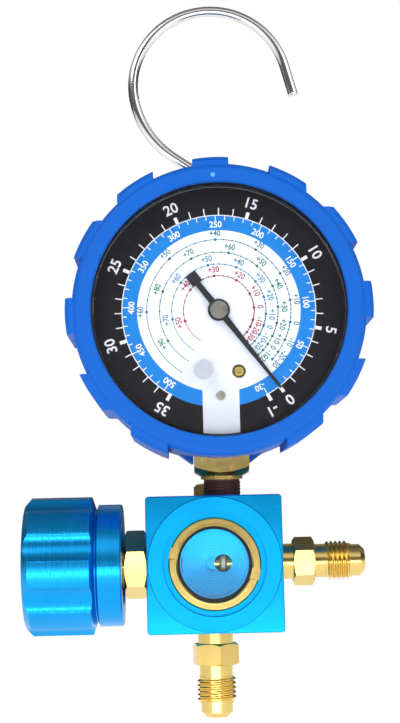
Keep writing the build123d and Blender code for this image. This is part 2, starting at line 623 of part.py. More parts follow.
with BuildPart() as knob:
    with BuildSketch(KNOB_END):
        Circle(KNOB_D / 2)
        with PolarLocations(FLUTE_CENTRE_R, KNOB_FLUTES, start_angle=-KNOB_FLUTE_START):
            Circle(KNOB_FLUTE_R, mode=Mode.SUBTRACT)
    extrude(amount=KNOB_GRIP_LENGTH + KNOB_GROOVE_LENGTH)
    fillet(knob.edges().filter_by(Axis.X), 0.8)
    with BuildSketch(KNOB_END.offset(KNOB_GRIP_LENGTH)):
        Circle(KNOB_COLLAR_D / 2)
    extrude(amount=KNOB_GROOVE_LENGTH + KNOB_COLLAR_LENGTH)
    # Rim chamfer at the outer end
    grip_end_x = KNOB_FRONT_X + KNOB_GRIP_LENGTH
    collar_x = grip_end_x + KNOB_GROOVE_LENGTH
    outside_r = KNOB_D / 2 + 1
    revolve(outline(VALVE_PLANE, [
        (KNOB_FRONT_X - 0.01, KNOB_D / 2 - KNOB_RIM_CHAMFER), (KNOB_FRONT_X - 0.01, outside_r),
        (KNOB_FRONT_X + KNOB_RIM_CHAMFER * 0.9, outside_r),
        (KNOB_FRONT_X + KNOB_RIM_CHAMFER * 0.9, KNOB_D / 2)]), axis=VALVE_AXIS, mode=Mode.SUBTRACT)
    # Groove between grip and collar, with sloping sides
    groove_lead = (collar_x - 0.2 - grip_end_x) / (KNOB_D - KNOB_GROOVE_D)
    revolve(outline(VALVE_PLANE, [
        (grip_end_x - groove_lead, KNOB_D / 2 + 0.5), (collar_x - 0.2, KNOB_GROOVE_D / 2),
        (collar_x, KNOB_GROOVE_D / 2), (collar_x + 0.6, KNOB_COLLAR_D / 2), (collar_x + 0.6, outside_r),
        (grip_end_x - groove_lead, outside_r)]), axis=VALVE_AXIS, mode=Mode.SUBTRACT)
    chamfer(knob.faces().sort_by(Axis.X)[-1].edges().sort_by(SortBy.RADIUS)[-1], 0.4)
    # Cavity over the bonnet neck, outer recess, screw hole and square socket of the stem
    revolve(outline(VALVE_PLANE, [
        (KNOB_BACK_X + 1, 0), (KNOB_BACK_X + 1, KNOB_REAR_CAVITY_D / 2), (KNOB_WEB_X, KNOB_REAR_CAVITY_D / 2),
        (KNOB_WEB_X, 0)]), axis=VALVE_AXIS, mode=Mode.SUBTRACT)
    revolve(outline(VALVE_PLANE, [
        (KNOB_FRONT_X - 1, 0), (KNOB_FRONT_X - 1, KNOB_FRONT_RECESS_D / 2), (KNOB_HUB_X, KNOB_FRONT_RECESS_D / 2 - 1),
        (KNOB_HUB_X, 0)]), axis=VALVE_AXIS, mode=Mode.SUBTRACT)
    with BuildSketch(KNOB_END):
        Circle(HUB_HOLE_D / 2)
    extrude(amount=KNOB_WEB_X - KNOB_FRONT_X, mode=Mode.SUBTRACT)
    with BuildSketch(Plane((KNOB_WEB_X, 0, VALVE_Z), x_dir=(0, 1, 0), z_dir=(-1, 0, 0))):
        Rectangle(STEM_SQUARE, STEM_SQUARE)
    extrude(amount=STEM_SQUARE_LENGTH + 0.3, mode=Mode.SUBTRACT)
finish(knob, "knob")

WASHER_D = 8.0
WASHER_THICKNESS = 0.8
SCREW_HEAD_D = 5.6
SCREW_HEAD_HEIGHT = 2.0

with BuildPart() as knob_washer:
    with BuildSketch(Plane((KNOB_HUB_X, 0, VALVE_Z), x_dir=(0, 1, 0), z_dir=(-1, 0, 0))):
        Circle(WASHER_D / 2)
        Circle(HUB_HOLE_D / 2, mode=Mode.SUBTRACT)
    extrude(amount=WASHER_THICKNESS)
finish(knob_washer, "knob_washer")

with BuildPart() as knob_screw:
    head_x = KNOB_HUB_X - WASHER_THICKNESS
    screw_tip_x = KNOB_WEB_X - STEM_SQUARE_LENGTH + 6.0
    revolve(outline(VALVE_PLANE, [
        (head_x - SCREW_HEAD_HEIGHT, 0), (head_x - SCREW_HEAD_HEIGHT, SCREW_HEAD_D / 2 - 0.7),
        (head_x - SCREW_HEAD_HEIGHT + 0.7, SCREW_HEAD_D / 2), (head_x, SCREW_HEAD_D / 2),
        (head_x, KNOB_SCREW_D / 2), (screw_tip_x, KNOB_SCREW_D / 2), (screw_tip_x, 0)]), axis=VALVE_AXIS)
    with BuildSketch(Plane((head_x - SCREW_HEAD_HEIGHT, 0, VALVE_Z), x_dir=(0, 1, 0), z_dir=(1, 0, 0))):
        Rectangle(3.6, 0.8)
        Rectangle(0.8, 3.6)
    extrude(amount=1.1, mode=Mode.SUBTRACT)
finish(knob_screw, "knob_screw")

# ---------------------------------------------------------------- hook

HEAD_BOTTOM_Z = BLOCK_TOP - HOOK_NUT_THREAD_LENGTH - 0.4 - HOOK_HEAD_HEIGHT
HOOK_BEND_Z = GAUGE_Z + LUG_R - HOOK_BEND_DROP

with BuildPart() as hook_nut:
    with BuildSketch(Plane.XY.offset(BLOCK_TOP)):
        with Locations((0, HOOK_Y)):
            RegularPolygon(HOOK_NUT_AF / 2, 6, major_radius=False)
    extrude(amount=HOOK_NUT_HEIGHT)
    corner_r = HOOK_NUT_AF / sqrt(3)
    revolve(outline(HOOK_PLANE, [
        (0, BLOCK_TOP), (corner_r + 0.01, BLOCK_TOP), (corner_r + 0.01, BLOCK_TOP + HOOK_NUT_HEIGHT - 0.9),
        (corner_r - 1.1, BLOCK_TOP + HOOK_NUT_HEIGHT), (0, BLOCK_TOP + HOOK_NUT_HEIGHT)]),
        axis=HOOK_AXIS, mode=Mode.INTERSECT)
    with BuildSketch(Plane.XY.offset(BLOCK_TOP)):
        with Locations((0, HOOK_Y)):
            Circle(HOOK_NUT_THREAD_D / 2)
    extrude(amount=-HOOK_NUT_THREAD_LENGTH)
    with BuildSketch(Plane.XY.offset(BLOCK_TOP - HOOK_NUT_THREAD_LENGTH)):
        with Locations((0, HOOK_Y)):
            Circle(WIRE_D / 2 + 0.08)
    extrude(amount=HOOK_NUT_THREAD_LENGTH + HOOK_NUT_HEIGHT, mode=Mode.SUBTRACT)
finish(hook_nut, "hook_nut")

with BuildLine() as hook_line:
    shank = Line((0, HEAD_BOTTOM_Z), (0, HOOK_BEND_Z))
    bend = JernArc(start=shank @ 1, tangent=shank % 1, radius=HOOK_BEND_R, arc_size=HOOK_BEND_ANGLE)
    run = PolarLine(start=bend @ 1, length=HOOK_RUN, direction=bend % 1)
    lead = JernArc(start=run @ 1, tangent=run % 1, radius=HOOK_LEAD_R, arc_size=-HOOK_LEAD_ANGLE)
    ring = JernArc(start=lead @ 1, tangent=lead % 1, radius=HOOK_RING_R, arc_size=-HOOK_RING_ANGLE)
    PolarLine(start=ring @ 1, length=HOOK_TIP_LENGTH, direction=ring % 1)
hook_path = HOOK_PLANE * hook_line.wire()

with BuildPart() as hook_wire:
    with BuildSketch(Plane.XY.offset(HEAD_BOTTOM_Z)):
        with Locations((0, HOOK_Y)):
            Circle(WIRE_D / 2)
    sweep(path=hook_path)
    fillet(hook_wire.faces().sort_by_distance(hook_path @ 1)[0].edges(), WIRE_D / 5)
    with BuildSketch(Plane.XY.offset(HEAD_BOTTOM_Z)):
        with Locations((0, HOOK_Y)):
            Circle(HOOK_HEAD_D / 2)
    extrude(amount=HOOK_HEAD_HEIGHT)
finish(hook_wire, "hook_wire")

# ---------------------------------------------------------------- gauge socket

SQUARE_BOTTOM_Z = BLOCK_TOP + SOCKET_NPT_EXPOSED + SOCKET_RIM_HEIGHT
CASE_BOTTOM_Z = GAUGE_Z - CASE_R
SHOULDER_Z = CASE_BOTTOM_Z + 1.5
FOOT_BACK_Y = CASE_BACK_Y - CASE_WALL
SOCKET_INNER_TOP = TUBE_R - 8.0
FOOT_TOP = -CASE_R + 8.3
FOOT_BOTTOM = -CASE_R + 2.8
CSK_D = 5.4
CSK_SCREW_D = 2.9
CSK_DEPTH = 1.4

with BuildPart() as gauge_socket:
    with BuildSketch(Plane.XY.offset(SQUARE_BOTTOM_Z)):
        with Locations((GAUGE_X, GAUGE_Y)):
            Rectangle(SOCKET_SQUARE, SOCKET_SQUARE)
    extrude(amount=SHOULDER_Z - SQUARE_BOTTOM_Z)
    square_corner_r = SOCKET_SQUARE / sqrt(2) + 0.01
    cone_rise = (square_corner_r - SOCKET_RIM_D / 2) * tan(radians(SOCKET_CONE_ANGLE))
    revolve(outline(SOCKET_PLANE, [
        (0, SQUARE_BOTTOM_Z), (SOCKET_RIM_D / 2, SQUARE_BOTTOM_Z), (square_corner_r, SQUARE_BOTTOM_Z + cone_rise),
        (square_corner_r, SHOULDER_Z), (0, SHOULDER_Z)]), axis=SOCKET_AXIS, mode=Mode.INTERSECT)
    # The square stops at the round of the case
    with BuildSketch(facing(CASE_BACK_Y)):
        Circle(CASE_R)
    extrude(amount=CASE_BACK + CASE_FRONT, mode=Mode.SUBTRACT)
    # Inner block that carries tube and movement, with its foot on the case back
    with BuildSketch(facing(SOCKET_BACK_Y)):
        with Locations((0, -(SOCKET_INNER_TOP + CASE_R - 1.0) / 2)):
            Rectangle(SOCKET_INNER_WIDTH, CASE_R - 1.0 - SOCKET_INNER_TOP)
    extrude(amount=SOCKET_INNER_DEPTH)
    with BuildSketch(facing(SOCKET_BACK_Y)):
        with BuildLine():
            base_w = -sqrt(CASE_R ** 2 - (SOCKET_INNER_WIDTH / 2) ** 2)
            Line((-SOCKET_INNER_WIDTH / 2, base_w), (-SOCKET_INNER_WIDTH / 2, -CASE_R + 2))
            Line((-SOCKET_INNER_WIDTH / 2, -CASE_R + 2), (SOCKET_INNER_WIDTH / 2, -CASE_R + 2))
            Line((SOCKET_INNER_WIDTH / 2, -CASE_R + 2), (SOCKET_INNER_WIDTH / 2, base_w))
            ThreePointArc((SOCKET_INNER_WIDTH / 2, base_w), (0, -CASE_R), (-SOCKET_INNER_WIDTH / 2, base_w))
        make_face()
    extrude(amount=SOCKET_INNER_DEPTH)
    with BuildSketch(facing(FOOT_BACK_Y)):
        with Locations((0, (FOOT_TOP + FOOT_BOTTOM) / 2)):
            Rectangle(SOCKET_INNER_WIDTH, FOOT_TOP - FOOT_BOTTOM)
    extrude(amount=FOOT_BACK_Y - SOCKET_BACK_Y)
    # Threaded shank and rim below the square
    revolve(outline(SOCKET_PLANE, [
        (0, BLOCK_TOP - SOCKET_NPT_ENGAGED), (SOCKET_NPT_D / 2, BLOCK_TOP - SOCKET_NPT_ENGAGED),
        (SOCKET_NPT_D / 2, BLOCK_TOP + SOCKET_NPT_EXPOSED), (SOCKET_RIM_D / 2, BLOCK_TOP + SOCKET_NPT_EXPOSED),
        (SOCKET_RIM_D / 2, SQUARE_BOTTOM_Z), (0, SQUARE_BOTTOM_Z)]), axis=SOCKET_AXIS)
    # Pressure passage up to the tube
    with BuildSketch(Plane.XY.offset(BLOCK_TOP - SOCKET_NPT_ENGAGED)):
        with Locations((GAUGE_X, GAUGE_Y)):
            Circle(SOCKET_BORE_D / 2)
    extrude(amount=GAUGE_Z - TUBE_R - BLOCK_TOP + SOCKET_NPT_ENGAGED + 0.5, mode=Mode.SUBTRACT)
    # Slot that takes the root of the tube
    with BuildSketch(tube_plane(-90)):
        with Locations((TUBE_R, 0)):
            RectangleRounded(TUBE_THICKNESS + 2 * RUN, TUBE_WIDTH + 2 * RUN, TUBE_THICKNESS / 2)
    revolve(axis=TUBE_AXIS, revolution_arc=20, mode=Mode.SUBTRACT)
    # Tapped holes of plate, dial post and case screws
    with BuildSketch(facing(SOCKET_FRONT_Y)):
        with Locations(*PLATE_SCREWS):
            Circle(1.0)
    extrude(amount=-3.0, mode=Mode.SUBTRACT)
    with BuildSketch(facing(FOOT_BACK_Y)):
        with Locations((-CASE_SCREW_SPREAD, CASE_SCREW_W), (CASE_SCREW_SPREAD, CASE_SCREW_W)):
            Circle(CSK_SCREW_D / 2)
    extrude(amount=6.0, mode=Mode.SUBTRACT)
    with BuildSketch(facing(CASE_BACK_Y)):
        with Locations((-CASE_SCREW_SPREAD, CASE_SCREW_W), (CASE_SCREW_SPREAD, CASE_SCREW_W)):
            Circle(CSK_D / 2)
    extrude(amount=CSK_DEPTH, taper=45, mode=Mode.SUBTRACT)
finish(gauge_socket, "gauge_socket")

with BuildPart() as thread_seal:
    with BuildSketch(Plane.XY.offset(BLOCK_TOP)):
        with Locations((GAUGE_X, GAUGE_Y)):
            Circle(SOCKET_NPT_D / 2 + SEAL_THICKNESS)
            Circle(SOCKET_NPT_D / 2, mode=Mode.SUBTRACT)
    extrude(amount=SOCKET_NPT_EXPOSED - 0.3)
finish(thread_seal, "thread_seal")

with BuildPart() as restrictor_screw:
    restrictor_z = BLOCK_TOP - SOCKET_NPT_ENGAGED
    revolve(outline(SOCKET_PLANE, [
        (0.3, restrictor_z), (SOCKET_BORE_D / 2, restrictor_z), (SOCKET_BORE_D / 2, restrictor_z + 4),
        (0.3, restrictor_z + 4)]), axis=SOCKET_AXIS)
finish(restrictor_screw, "restrictor_screw")

# ---------------------------------------------------------------- gauge case and boot

with BuildPart() as gauge_case:
    revolve(outline(GAUGE_PLANE, [
        (0, CASE_BACK_Y), (CASE_R - 1.5, CASE_BACK_Y), (CASE_R, CASE_BACK_Y - 1.5), (CASE_R, CASE_RIM_Y),
        (CASE_INNER_R, CASE_RIM_Y), (CASE_INNER_R, CASE_BACK_Y - 1.8),
        (CASE_INNER_R - 1.0, CASE_BACK_Y - CASE_WALL), (0, CASE_BACK_Y - CASE_WALL)]), axis=GAUGE_AXIS)
    # Window of the socket in the wall
    with BuildSketch(Plane.XY.offset(CASE_BOTTOM_Z - 1)):
        with Locations((GAUGE_X, GAUGE_Y)):
            Rectangle(SOCKET_INNER_WIDTH, SOCKET_INNER_DEPTH)
    extrude(amount=6, mode=Mode.SUBTRACT)
    with BuildSketch(facing(CASE_BACK_Y)):
        with Locations((-CASE_SCREW_SPREAD, CASE_SCREW_W), (CASE_SCREW_SPREAD, CASE_SCREW_W)):
            Circle(CSK_D / 2)
    extrude(amount=CSK_DEPTH, taper=45, mode=Mode.SUBTRACT)
finish(gauge_case, "gauge_case")

with BuildPart() as case_screws:
    for side_u in (-CASE_SCREW_SPREAD, CASE_SCREW_SPREAD):
        with BuildSketch(facing(CASE_BACK_Y - 0.02)):
            with Locations((side_u, CASE_SCREW_W)):
                Circle(CSK_D / 2 - 0.03)
        extrude(amount=CSK_DEPTH - 0.1, taper=45)
        with BuildSketch(facing(CASE_BACK_Y - 1.0)):
            with Locations((side_u, CASE_SCREW_W)):
                Circle(CSK_SCREW_D / 2 - 0.02)
        extrude(amount=5.0)
        with BuildSketch(facing(CASE_BACK_Y)):
            with Locations((side_u, CASE_SCREW_W)):
                Rectangle(3.0, 0.7)
                Rectangle(0.7, 3.0)
        extrude(amount=0.8, mode=Mode.SUBTRACT)
finish(case_screws, "case_screws")

NECK_HALF_TOP = 12.5
NECK_HALF_BOTTOM = 8.6
NECK_BOTTOM = -BOOT_R - 0.8
NECK_FRONT_Y = GAUGE_Y + 1.0
BOOT_SLOT = SOCKET_SQUARE + 0.4
BOOT_SLOT_FRONT_Y = GAUGE_Y - SOCKET_SQUARE / 2 - 0.3
LUG_FRONT_Y = BOOT_FRONT_Y + 0.8
LUG_BACK_Y = BOOT_BACK_Y - 1.2


def lug_strip(angle):
    """Centre and size of the strip that cuts a lug; its end faces follow the mould's pull directions."""
    u, w = polar(LUG_R, angle)
    if abs(u) > abs(w):
        return (u * 0.9, w), (LUG_R * 0.4, BOOT_LUG_WIDTH)
    return (u, w * 0.9), (BOOT_LUG_WIDTH, LUG_R * 0.4)


with BuildPart() as protective_boot:
    # Lugs first: a thick ring cut to twelve strips, one of which is the socket's place
    for index in range(BOOT_LUGS):
        step = 360 / BOOT_LUGS
        if abs(index * step - 270) < step / 2:
            continue
        centre, size = lug_strip(index * step + BOOT_LUG_TURN)
        with BuildSketch(facing(LUG_BACK_Y)):
            Circle(LUG_R)
            with Locations(centre):
                Rectangle(*size, mode=Mode.INTERSECT)
            Circle(BOOT_R - 1.2, mode=Mode.SUBTRACT)
        extrude(amount=LUG_BACK_Y - LUG_FRONT_Y)
    reach = LUG_R + 1
    for end_y, into in ((LUG_FRONT_Y, 1), (LUG_BACK_Y, -1)):
        revolve(outline(GAUGE_PLANE, [
            (LUG_R - BOOT_LUG_CHAMFER, end_y - into * 0.01), (reach, end_y - into * 0.01),
            (reach, end_y + into * BOOT_LUG_CHAMFER), (LUG_R, end_y + into * BOOT_LUG_CHAMFER)]),
            axis=GAUGE_AXIS, mode=Mode.SUBTRACT)
    # Ring, front lip and back lip
    shoulder_y = BOOT_FRONT_Y + BOOT_FRONT_BEVEL * 1.3
    with BuildSketch(GAUGE_PLANE):
        with BuildLine():
            Polyline((BOOT_R - BOOT_FRONT_BEVEL, BOOT_FRONT_Y), (BOOT_OPENING_R + 0.4, BOOT_FRONT_Y),
                     (BOOT_OPENING_R, BOOT_FRONT_Y + 0.4), (BOOT_OPENING_R, LENS_FRONT_Y),
                     (BOOT_INNER_R, LENS_FRONT_Y), (BOOT_INNER_R, BOOT_BACK_Y - BOOT_BACK_LIP),
                     (BOOT_BACK_OPENING_R, BOOT_BACK_Y - BOOT_BACK_LIP),
                     (BOOT_BACK_OPENING_R, BOOT_BACK_Y), (BOOT_R - 1.5, BOOT_BACK_Y),
                     (BOOT_R, BOOT_BACK_Y - 1.5), (BOOT_R, shoulder_y))
            ThreePointArc((BOOT_R, shoulder_y), (BOOT_R - BOOT_FRONT_BEVEL * 0.35, BOOT_FRONT_Y + 0.75),
                          (BOOT_R - BOOT_FRONT_BEVEL, BOOT_FRONT_Y))
        make_face()
    revolve(axis=GAUGE_AXIS)
    # Neck over the socket and the slot it slides on with
    with BuildSketch(facing(BOOT_BACK_Y)):
        with BuildLine():
            Polyline((-NECK_HALF_TOP, -BOOT_R + 2.1), (-NECK_HALF_BOTTOM, NECK_BOTTOM),
                     (NECK_HALF_BOTTOM, NECK_BOTTOM), (NECK_HALF_TOP, -BOOT_R + 2.1),
                     (NECK_HALF_TOP, -BOOT_INNER_R), (-NECK_HALF_TOP, -BOOT_INNER_R), close=True)
        make_face()
    extrude(amount=BOOT_BACK_Y - NECK_FRONT_Y)
    with BuildSketch(facing(BOOT_BACK_Y)):
        with Locations((0, -BOOT_R)):
            Rectangle(BOOT_SLOT, 2 * (BOOT_R - BOOT_BACK_OPENING_R + 1))
    extrude(amount=BOOT_BACK_Y - BOOT_SLOT_FRONT_Y, mode=Mode.SUBTRACT)
finish(protective_boot, "protective_boot")

# ---------------------------------------------------------------- lens and dial

SKIRT_END_Y = DIAL_Y - LENS_GASKET
LENS_BACK_Y = LENS_FRONT_Y + LENS_THICKNESS

with BuildPart() as lens:
    revolve(outline(GAUGE_PLANE, [
        (0, LENS_FRONT_Y), (LENS_R - 0.6, LENS_FRONT_Y), (LENS_R, LENS_FRONT_Y + 0.6), (LENS_R, SKIRT_END_Y),
        (LENS_INNER_R, SKIRT_END_Y), (LENS_INNER_R, LENS_BACK_Y + 0.7), (LENS_INNER_R - 0.7, LENS_BACK_Y),
        (0, LENS_BACK_Y)]), axis=GAUGE_AXIS)
    with BuildSketch(facing(LENS_BACK_Y)):
        with Locations((PLUG_U, PLUG_W)):
            Circle(PLUG_D / 2)
    extrude(amount=LENS_THICKNESS, mode=Mode.SUBTRACT)
finish(lens, "lens")

with BuildPart() as lens_plug:
    with BuildSketch(facing(LENS_BACK_Y)):
        with Locations((PLUG_U, PLUG_W)):
            Circle(PLUG_D / 2)
    extrude(amount=LENS_THICKNESS)
finish(lens_plug, "lens_plug")

with BuildPart() as lens_gasket:
    with BuildSketch(facing(DIAL_Y)):
        Circle(LENS_R)
        Circle(LENS_INNER_R, mode=Mode.SUBTRACT)
    extrude(amount=LENS_GASKET)
finish(lens_gasket, "lens_gasket")

with BuildPart() as dial_plate:
    with BuildSketch(facing(DIAL_BACK_Y)):
        Circle(DIAL_R)
        Circle(DIAL_SHAFT_HOLE_D / 2, mode=Mode.SUBTRACT)
        with Locations((0, -DIAL_SCREW_RADIUS)):
            Circle(0.9, mode=Mode.SUBTRACT)
        with Locations((CALIBRATION_U, CALIBRATION_W)):
            Circle(CALIBRATION_HOLE_D / 2, mode=Mode.SUBTRACT)
    extrude(amount=DIAL_THICKNESS)
finish(dial_plate, "dial_plate")

with BuildPart() as dial_post:
    with BuildSketch(facing(FRONT_PLATE_Y)):
        with Locations((0, -DIAL_SCREW_RADIUS)):
            Circle(2.0)
            Circle(0.85, mode=Mode.SUBTRACT)
    extrude(amount=FRONT_PLATE_Y - DIAL_BACK_Y)
finish(dial_post, "dial_post")

with BuildPart() as dial_screw:
    with BuildSketch(facing(DIAL_Y)):
        with Locations((0, -DIAL_SCREW_RADIUS)):
            Circle(1.3)
    extrude(amount=0.7)
    fillet(dial_screw.faces().sort_by(Axis.Y)[0].edges(), 0.35)
    with BuildSketch(facing(DIAL_Y)):
        with Locations((0, -DIAL_SCREW_RADIUS)):
            Circle(0.8)
    extrude(amount=-3.0)
    with BuildSketch(facing(DIAL_Y - 0.35)):
        with Locations((0, -DIAL_SCREW_RADIUS)):
            Rectangle(3.0, 0.45, rotation=25)
    extrude(amount=1.0, mode=Mode.SUBTRACT)
finish(dial_screw, "dial_screw")

# ---------------------------------------------------------------- movement

PLATE_OUTLINE = [(-3.5, 4.5), (3.5, 4.5), (6.5, -8.0), (9.2, -20.0), (9.2, -25.0), (5.5, -28.0), (-9.6, -28.0),
                 (-10.4, -20.0), (-15.5, -6.0), (-14.0, -2.0)]
ARBOR_D = 1.6
CALIBRATION_SHANK_R = 0.9


def plate_outline(plane, holes):
    """Face of a movement plate with rounded corners; holes are (point, radius)."""
    with BuildSketch(plane) as sketch:
        with BuildLine():
            Polyline(*PLATE_OUTLINE, close=True)
        make_face()
        fillet(sketch.vertices(), 1.5)
        for point, radius in holes:
            with Locations(point):
                Circle(radius, mode=Mode.SUBTRACT)
    return sketch.sketch


BACK_HOLES = [((0, 0), PIVOT_D / 2 + PIVOT_CLEARANCE), (SECTOR_AT, PIVOT_D / 2 + PIVOT_CLEARANCE)]
BACK_HOLES += [(point, 1.0) for point in PLATE_SCREWS]
FRONT_HOLES = [((0, 0), SHAFT_D / 2 + PIVOT_CLEARANCE), (SECTOR_AT, PIVOT_D / 2 + PIVOT_CLEARANCE)]
FRONT_HOLES += [((CALIBRATION_U, CALIBRATION_W), CALIBRATION_SHANK_R + PIVOT_CLEARANCE)]
FRONT_HOLES += [((0, -DIAL_SCREW_RADIUS), 0.85)]

with BuildPart() as movement_back_plate:
    extrude(plate_outline(facing(SOCKET_FRONT_Y), BACK_HOLES), amount=BACK_PLATE_THICKNESS)
finish(movement_back_plate, "movement_back_plate")

with BuildPart() as movement_front_plate:
    extrude(plate_outline(facing(FRONT_PLATE_BACK_Y), FRONT_HOLES), amount=FRONT_PLATE_THICKNESS)
finish(movement_front_plate, "movement_front_plate")

with BuildPart() as movement_pillars:
    with BuildSketch(facing(BACK_PLATE_Y)):
        with Locations(*PILLARS):
            Circle(PILLAR_D / 2)
    extrude(amount=PLATE_SPACING)
finish(movement_pillars, "movement_pillars")

with BuildPart() as movement_screws:
    with BuildSketch(facing(BACK_PLATE_Y)):
        with Locations(*PLATE_SCREWS):
            Circle(1.8)
    extrude(amount=1.2)
    with BuildSketch(facing(BACK_PLATE_Y)):
        with Locations(*PLATE_SCREWS):
            Circle(0.97)
    extrude(amount=-3.6)
    with BuildSketch(facing(BACK_PLATE_Y - 0.7)):
        with Locations(*PLATE_SCREWS):
            Rectangle(4.0, 0.5)
    extrude(amount=1.0, mode=Mode.SUBTRACT)
finish(movement_screws, "movement_screws")

SECTOR_PITCH = 360 / SECTOR_FULL_TEETH
SECTOR_FIRST = -int((SECTOR_CCW + 4.0) / SECTOR_PITCH + 1)
SECTOR_LAST = int((SECTOR_CW + 4.0) / SECTOR_PITCH + 1)
SECTOR_BAND_R = SECTOR_R - 2.6
SECTOR_HUB_R = 2.2
SECTOR_PLANE = Plane((GAUGE_X + SECTOR_AT[0], SECTOR_Y + SECTOR_THICKNESS, GAUGE_Z + SECTOR_AT[1]),
                     x_dir=(1, 0, 0), z_dir=(0, -1, 0))

with BuildPart() as sector_gear:
    with BuildSketch(SECTOR_PLANE):
        centres = [MESH_ANGLE + (index + 0.5) * SECTOR_PITCH for index in range(SECTOR_FIRST, SECTOR_LAST)]
        with BuildLine():
            first, last = toothed_edge(SECTOR_FULL_TEETH, centres)
            start_angle = degrees(atan2(first[1], first[0]))
            end_angle = degrees(atan2(last[1], last[0]))
            middle_angle = (start_angle + end_angle) / 2
            Line(last, polar(SECTOR_BAND_R, end_angle))
            ThreePointArc(polar(SECTOR_BAND_R, end_angle), polar(SECTOR_BAND_R, middle_angle),
                          polar(SECTOR_BAND_R, start_angle))
            Line(polar(SECTOR_BAND_R, start_angle), first)
        make_face()
        Circle(SECTOR_HUB_R)
        for arm_angle in (start_angle + 5, end_angle - 5):
            arm_end = polar(SECTOR_BAND_R + 0.8, arm_angle)
            with BuildLine():
                Polyline(polar(1.1, arm_angle + 90), polar(1.1, arm_angle - 90),
                         shifted(arm_end, 0.8, arm_angle - 90), shifted(arm_end, 0.8, arm_angle + 90), close=True)
            make_face()
        tail_end = polar(TAIL_ARM, TAIL_REST_ANGLE)
        with BuildLine():
            Polyline(polar(1.2, TAIL_REST_ANGLE + 90), polar(1.2, TAIL_REST_ANGLE - 90),
                     shifted(tail_end, 0.9, TAIL_REST_ANGLE - 90), shifted(tail_end, 0.9, TAIL_REST_ANGLE + 90),
                     close=True)
        make_face()
        with Locations(tail_end):
            Circle(1.4)
    extrude(amount=SECTOR_THICKNESS)
    # Arbor with a pivot at each end, and the pin that the link hangs on
    with BuildSketch(SECTOR_PLANE.offset(SECTOR_Y + SECTOR_THICKNESS - BACK_PLATE_Y + 0.15)):
        Circle(ARBOR_D / 2)
    extrude(amount=PLATE_SPACING - 0.3)
    with BuildSketch(SECTOR_PLANE.offset(SECTOR_Y + SECTOR_THICKNESS - SOCKET_FRONT_Y + 0.1)):
        Circle(PIVOT_D / 2)
    extrude(amount=SOCKET_FRONT_Y - 0.1 - FRONT_PLATE_Y)
    with BuildSketch(SECTOR_PLANE):
        with Locations(tail_end):
            Circle(LINK_PIN_D / 2)
    extrude(amount=-(LINK_THICKNESS + 0.9))
finish(sector_gear, "sector_gear")

with BuildPart() as pinion_shaft:
    with BuildSketch(facing(PINION_Y + PINION_LENGTH)):
        with BuildLine():
            tooth_step = 360 / PINION_TEETH
            centres = [MESH_ANGLE + 180 + index * tooth_step for index in range(PINION_TEETH)]
            first, last = toothed_edge(PINION_TEETH, centres)
            Line(last, first)
        make_face()
    extrude(amount=PINION_LENGTH)
    with BuildSketch(facing(BACK_PLATE_Y - 0.15)):
        Circle(SHAFT_D / 2 + 0.1)
    extrude(amount=BACK_PLATE_Y - 0.15 - PINION_Y)
    with BuildSketch(facing(SOCKET_FRONT_Y - 0.1)):
        Circle(PIVOT_D / 2)
    extrude(amount=BACK_PLATE_THICKNESS + 0.2)
    with BuildSketch(facing(PINION_Y)):
        Circle(SHAFT_D / 2)
    extrude(amount=PINION_Y - POINTER_Y + POINTER_THICKNESS + 0.05)
finish(pinion_shaft, "pinion_shaft")

COLLET_R = 1.3
SPRING_END_ANGLE = 200.0
STUD_R = 0.6

with BuildPart() as hairspring_collet:
    with BuildSketch(facing(SPRING_Y + SPRING_WIDTH + 0.1)):
        Circle(COLLET_R)
        Circle(SHAFT_D / 2, mode=Mode.SUBTRACT)
    extrude(amount=SPRING_WIDTH + 0.2)
finish(hairspring_collet, "hairspring_collet")


def spiral(inset):
    """Points along one edge of the hairspring strip, from the collet outwards."""
    points = []
    for index in range(SPRING_TURNS * 12 + 1):
        radius = SPRING_INNER_R + SPRING_PITCH * index / 12 + inset
        points.append(polar(radius, SPRING_END_ANGLE + index * 30))
    return points


with BuildPart() as hairspring:
    with BuildSketch(facing(SPRING_Y + SPRING_WIDTH)):
        inner_edge = spiral(-SPRING_STRIP / 2)
        outer_edge = spiral(SPRING_STRIP / 2)
        with BuildLine():
            Spline(*inner_edge)
            Spline(*outer_edge)
            Line(inner_edge[0], outer_edge[0])
            Line(inner_edge[-1], outer_edge[-1])
        make_face()
    extrude(amount=SPRING_WIDTH)
finish(hairspring, "hairspring")

SPRING_OUTER_R = SPRING_INNER_R + SPRING_PITCH * SPRING_TURNS + SPRING_STRIP / 2

with BuildPart() as hairspring_stud:
    with BuildSketch(facing(SPRING_Y + SPRING_WIDTH + 0.2)):
        with Locations(polar(SPRING_OUTER_R + STUD_R + 0.02, SPRING_END_ANGLE)):
            Circle(STUD_R)
    extrude(amount=SPRING_Y + SPRING_WIDTH + 0.2 - FRONT_PLATE_BACK_Y)
finish(hairspring_stud, "hairspring_stud")

